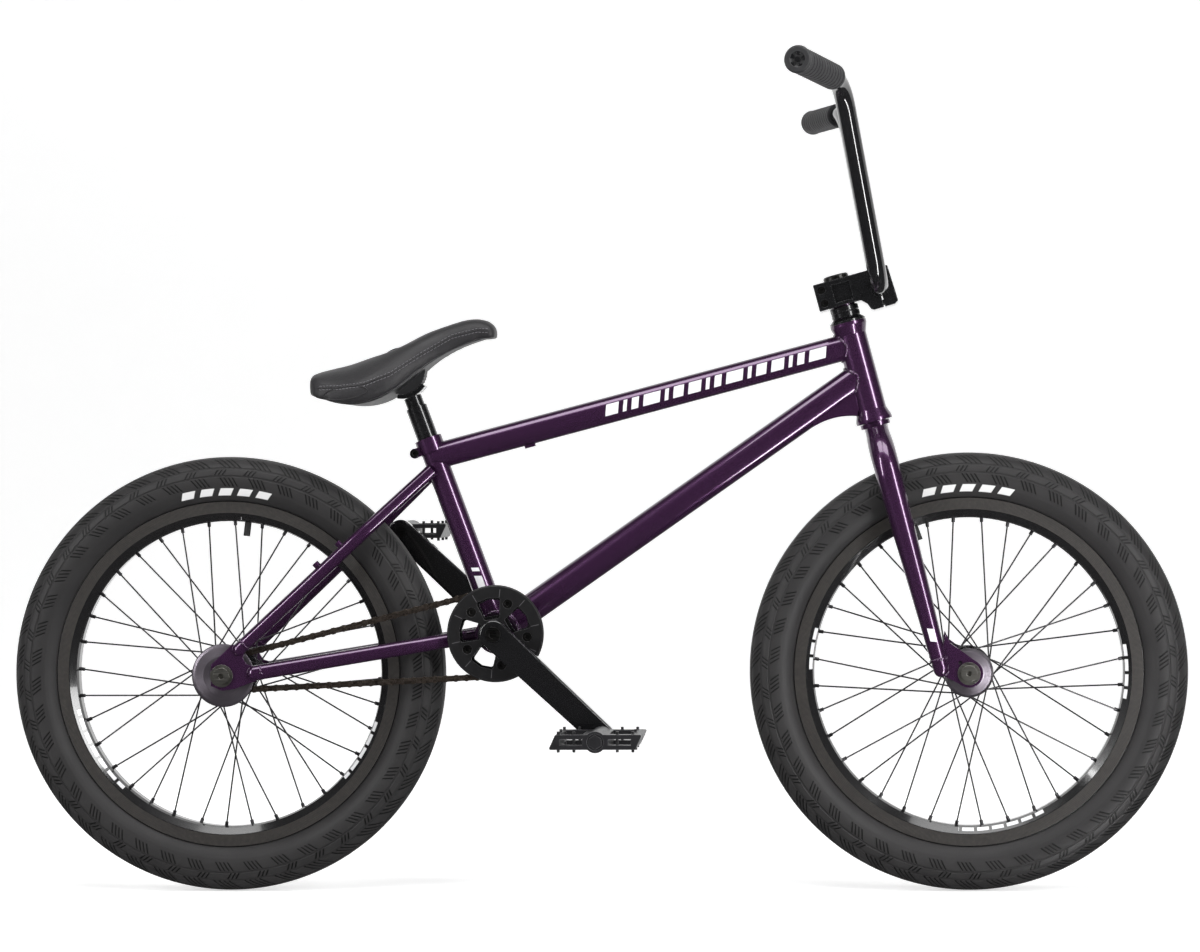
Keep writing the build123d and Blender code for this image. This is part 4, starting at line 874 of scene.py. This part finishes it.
def build_bar_ends():
    """Five raised petals and a hex boss on each bar-end plug."""
    for side, label in ((1, "left"), (-1, "right")):
        outward = Vector((grip_axis.x, side * grip_axis.y, grip_axis.z))
        face = Vector((grip_outer.x, side * grip_outer.y, grip_outer.z)) + outward * 0.0001
        side_way = outward.orthogonal().normalized()
        up_way = outward.cross(side_way)
        mesh = bmesh.new()
        outlines = []
        for petal in range(5):
            middle = 2 * pi * petal / 5
            ring = [(0.0048, -0.26), (0.0112, -0.42), (0.0118, 0.0), (0.0112, 0.42), (0.0048, 0.26)]
            outlines.append([(radius, middle + swing) for radius, swing in ring])
        outlines.append([(0.0036, pi / 3 * corner) for corner in range(6)])
        for outline in outlines:
            flat = []
            for radius, angle in outline:
                flat.append(face + (side_way * cos(angle) + up_way * sin(angle)) * radius)
            low = [mesh.verts.new(point - outward * 0.0006) for point in flat]
            high = [mesh.verts.new(point + outward * 0.0011) for point in flat]
            mesh.faces.new(high)
            mesh.faces.new(list(reversed(low)))
            for number in range(len(flat)):
                beside = (number + 1) % len(flat)
                mesh.faces.new((low[number], low[beside], high[beside], high[number]))
        bmesh.ops.recalc_face_normals(mesh, faces=mesh.faces)
        bmesh.ops.bevel(mesh, geom=mesh.edges[:], offset=0.0002, segments=2, affect="EDGES")
        data = bpy.data.meshes.new(f"bar_end_star_{label}")
        mesh.to_mesh(data)
        mesh.free()
        star = bpy.data.objects.new(f"bar_end_star_{label}", data)
        bpy.context.scene.collection.objects.link(star)
        dress(star, "gloss_black")
        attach(star, "fork")


build_bar_ends()


# ---------------------------------------------------------------- studio

def stage_sheet(name, line, material):
    """A wide sheet that follows a line of (y, z) places."""
    points = []
    for y, z in line:
        points.append((-9.0, y, z))
        points.append((9.0, y, z))
    mesh = bpy.data.meshes.new(name)
    mesh.from_pydata(points, [], grid_faces(len(line), 2, False, False))
    mesh.shade_smooth()
    sheet = bpy.data.objects.new(name, mesh)
    bpy.context.scene.collection.objects.link(sheet)
    sheet.data.materials.append(material)
    return sheet


def clear_from_behind(tree, shader):
    """Lets the back of a sheet be looked through, so it can't hide the bicycle from that side."""
    side = add(tree, "NewGeometry").outputs["Backfacing"]
    clear = add(tree, "BsdfTransparent").outputs["BSDF"]
    mix = add(tree, "MixShader")
    output = next(node for node in tree.nodes if node.type == "OUTPUT_MATERIAL")
    tree.links.new(side, mix.inputs[0])
    tree.links.new(shader.outputs["BSDF"], mix.inputs[1])
    tree.links.new(clear, mix.inputs[2])
    tree.links.new(mix.outputs[0], output.inputs["Surface"])


def build_floor():
    """Pale floor that curves up behind the bicycle. Its front half is left out of gloss reflections."""
    material, tree, shader = new_material("studio_paper", Specular_IOR_Level=0.1, Emission_Strength=0.55)
    shader.inputs["Emission Color"].default_value = (1, 1, 1, 1)
    grain = noise(tree, 6, 2)
    feed(tree, shader.inputs["Base Color"], tints(tree, grain, (0.90, 0.90, 0.90), (0.92, 0.92, 0.92)))
    feed(tree, shader.inputs["Roughness"], spread(tree, grain, 0, 1, 0.8, 0.9))
    clear_from_behind(tree, shader)
    seam, rise = 0.9, 2.5
    back = [(seam, 0.0), (3.0, 0.0)]
    for step in range(1, 25):
        angle = pi / 2 * step / 24
        back.append((3.0 + rise * sin(angle), rise - rise * cos(angle)))
    back.append((3.0 + rise, 9.0))
    stage_sheet("studio_backdrop", back, material)
    front = stage_sheet("studio_floor", [(-9.0, 0.0), (seam, 0.0)], material)
    front.visible_glossy = False


def soft_light(name, location, target, size, power):
    light = bpy.data.lights.new(name, "AREA")
    light.shape = "RECTANGLE"
    light.size, light.size_y = size
    light.energy = power
    obj = bpy.data.objects.new(name, light)
    bpy.context.scene.collection.objects.link(obj)
    obj.location = location
    obj.visible_camera = False
    aim = Vector(target) - Vector(location)
    obj.rotation_euler = aim.to_track_quat("-Z", "Y").to_euler()


def build_studio():
    build_floor()
    world = bpy.data.worlds.new("studio_air")
    world.use_nodes = True
    world.node_tree.nodes["Background"].inputs["Color"].default_value = (1, 1, 1, 1)
    world.node_tree.nodes["Background"].inputs["Strength"].default_value = 0.06
    bpy.context.scene.world = world
    soft_light("overhead", (0, -0.9, 3.0), (0, 0, 0.3), (3.2, 1.2), 60)
    soft_light("strip_right", (2.6, -2.4, 1.6), (0.1, 0, 0.4), (0.6, 2.6), 70)
    soft_light("strip_left", (-2.6, -2.2, 1.4), (-0.1, 0, 0.4), (0.3, 2.4), 48)
    soft_light("low_strip", (0.85, -0.62, 0.02), (0.5, -0.1, 0.9), (0.1, 0.9), 7)
    bpy.context.scene.view_settings.view_transform = "Standard"


def build_camera():
    camera = bpy.data.cameras.new("camera")
    camera.sensor_width = 36.0
    camera.lens = 110.7
    camera.shift_x = -0.0833
    obj = bpy.data.objects.new("camera", camera)
    bpy.context.scene.collection.objects.link(obj)
    turn = Matrix.Rotation(0.0531, 4, "Z") @ Matrix.Rotation(radians(90) - 0.001, 4, "X")
    spot = Matrix.Translation((0.35743, -4.39484, 0.49797))
    obj.matrix_world = spot @ turn @ Matrix.Rotation(-0.0058, 4, "Z")
    bpy.context.scene.camera = obj


build_studio()
build_camera()
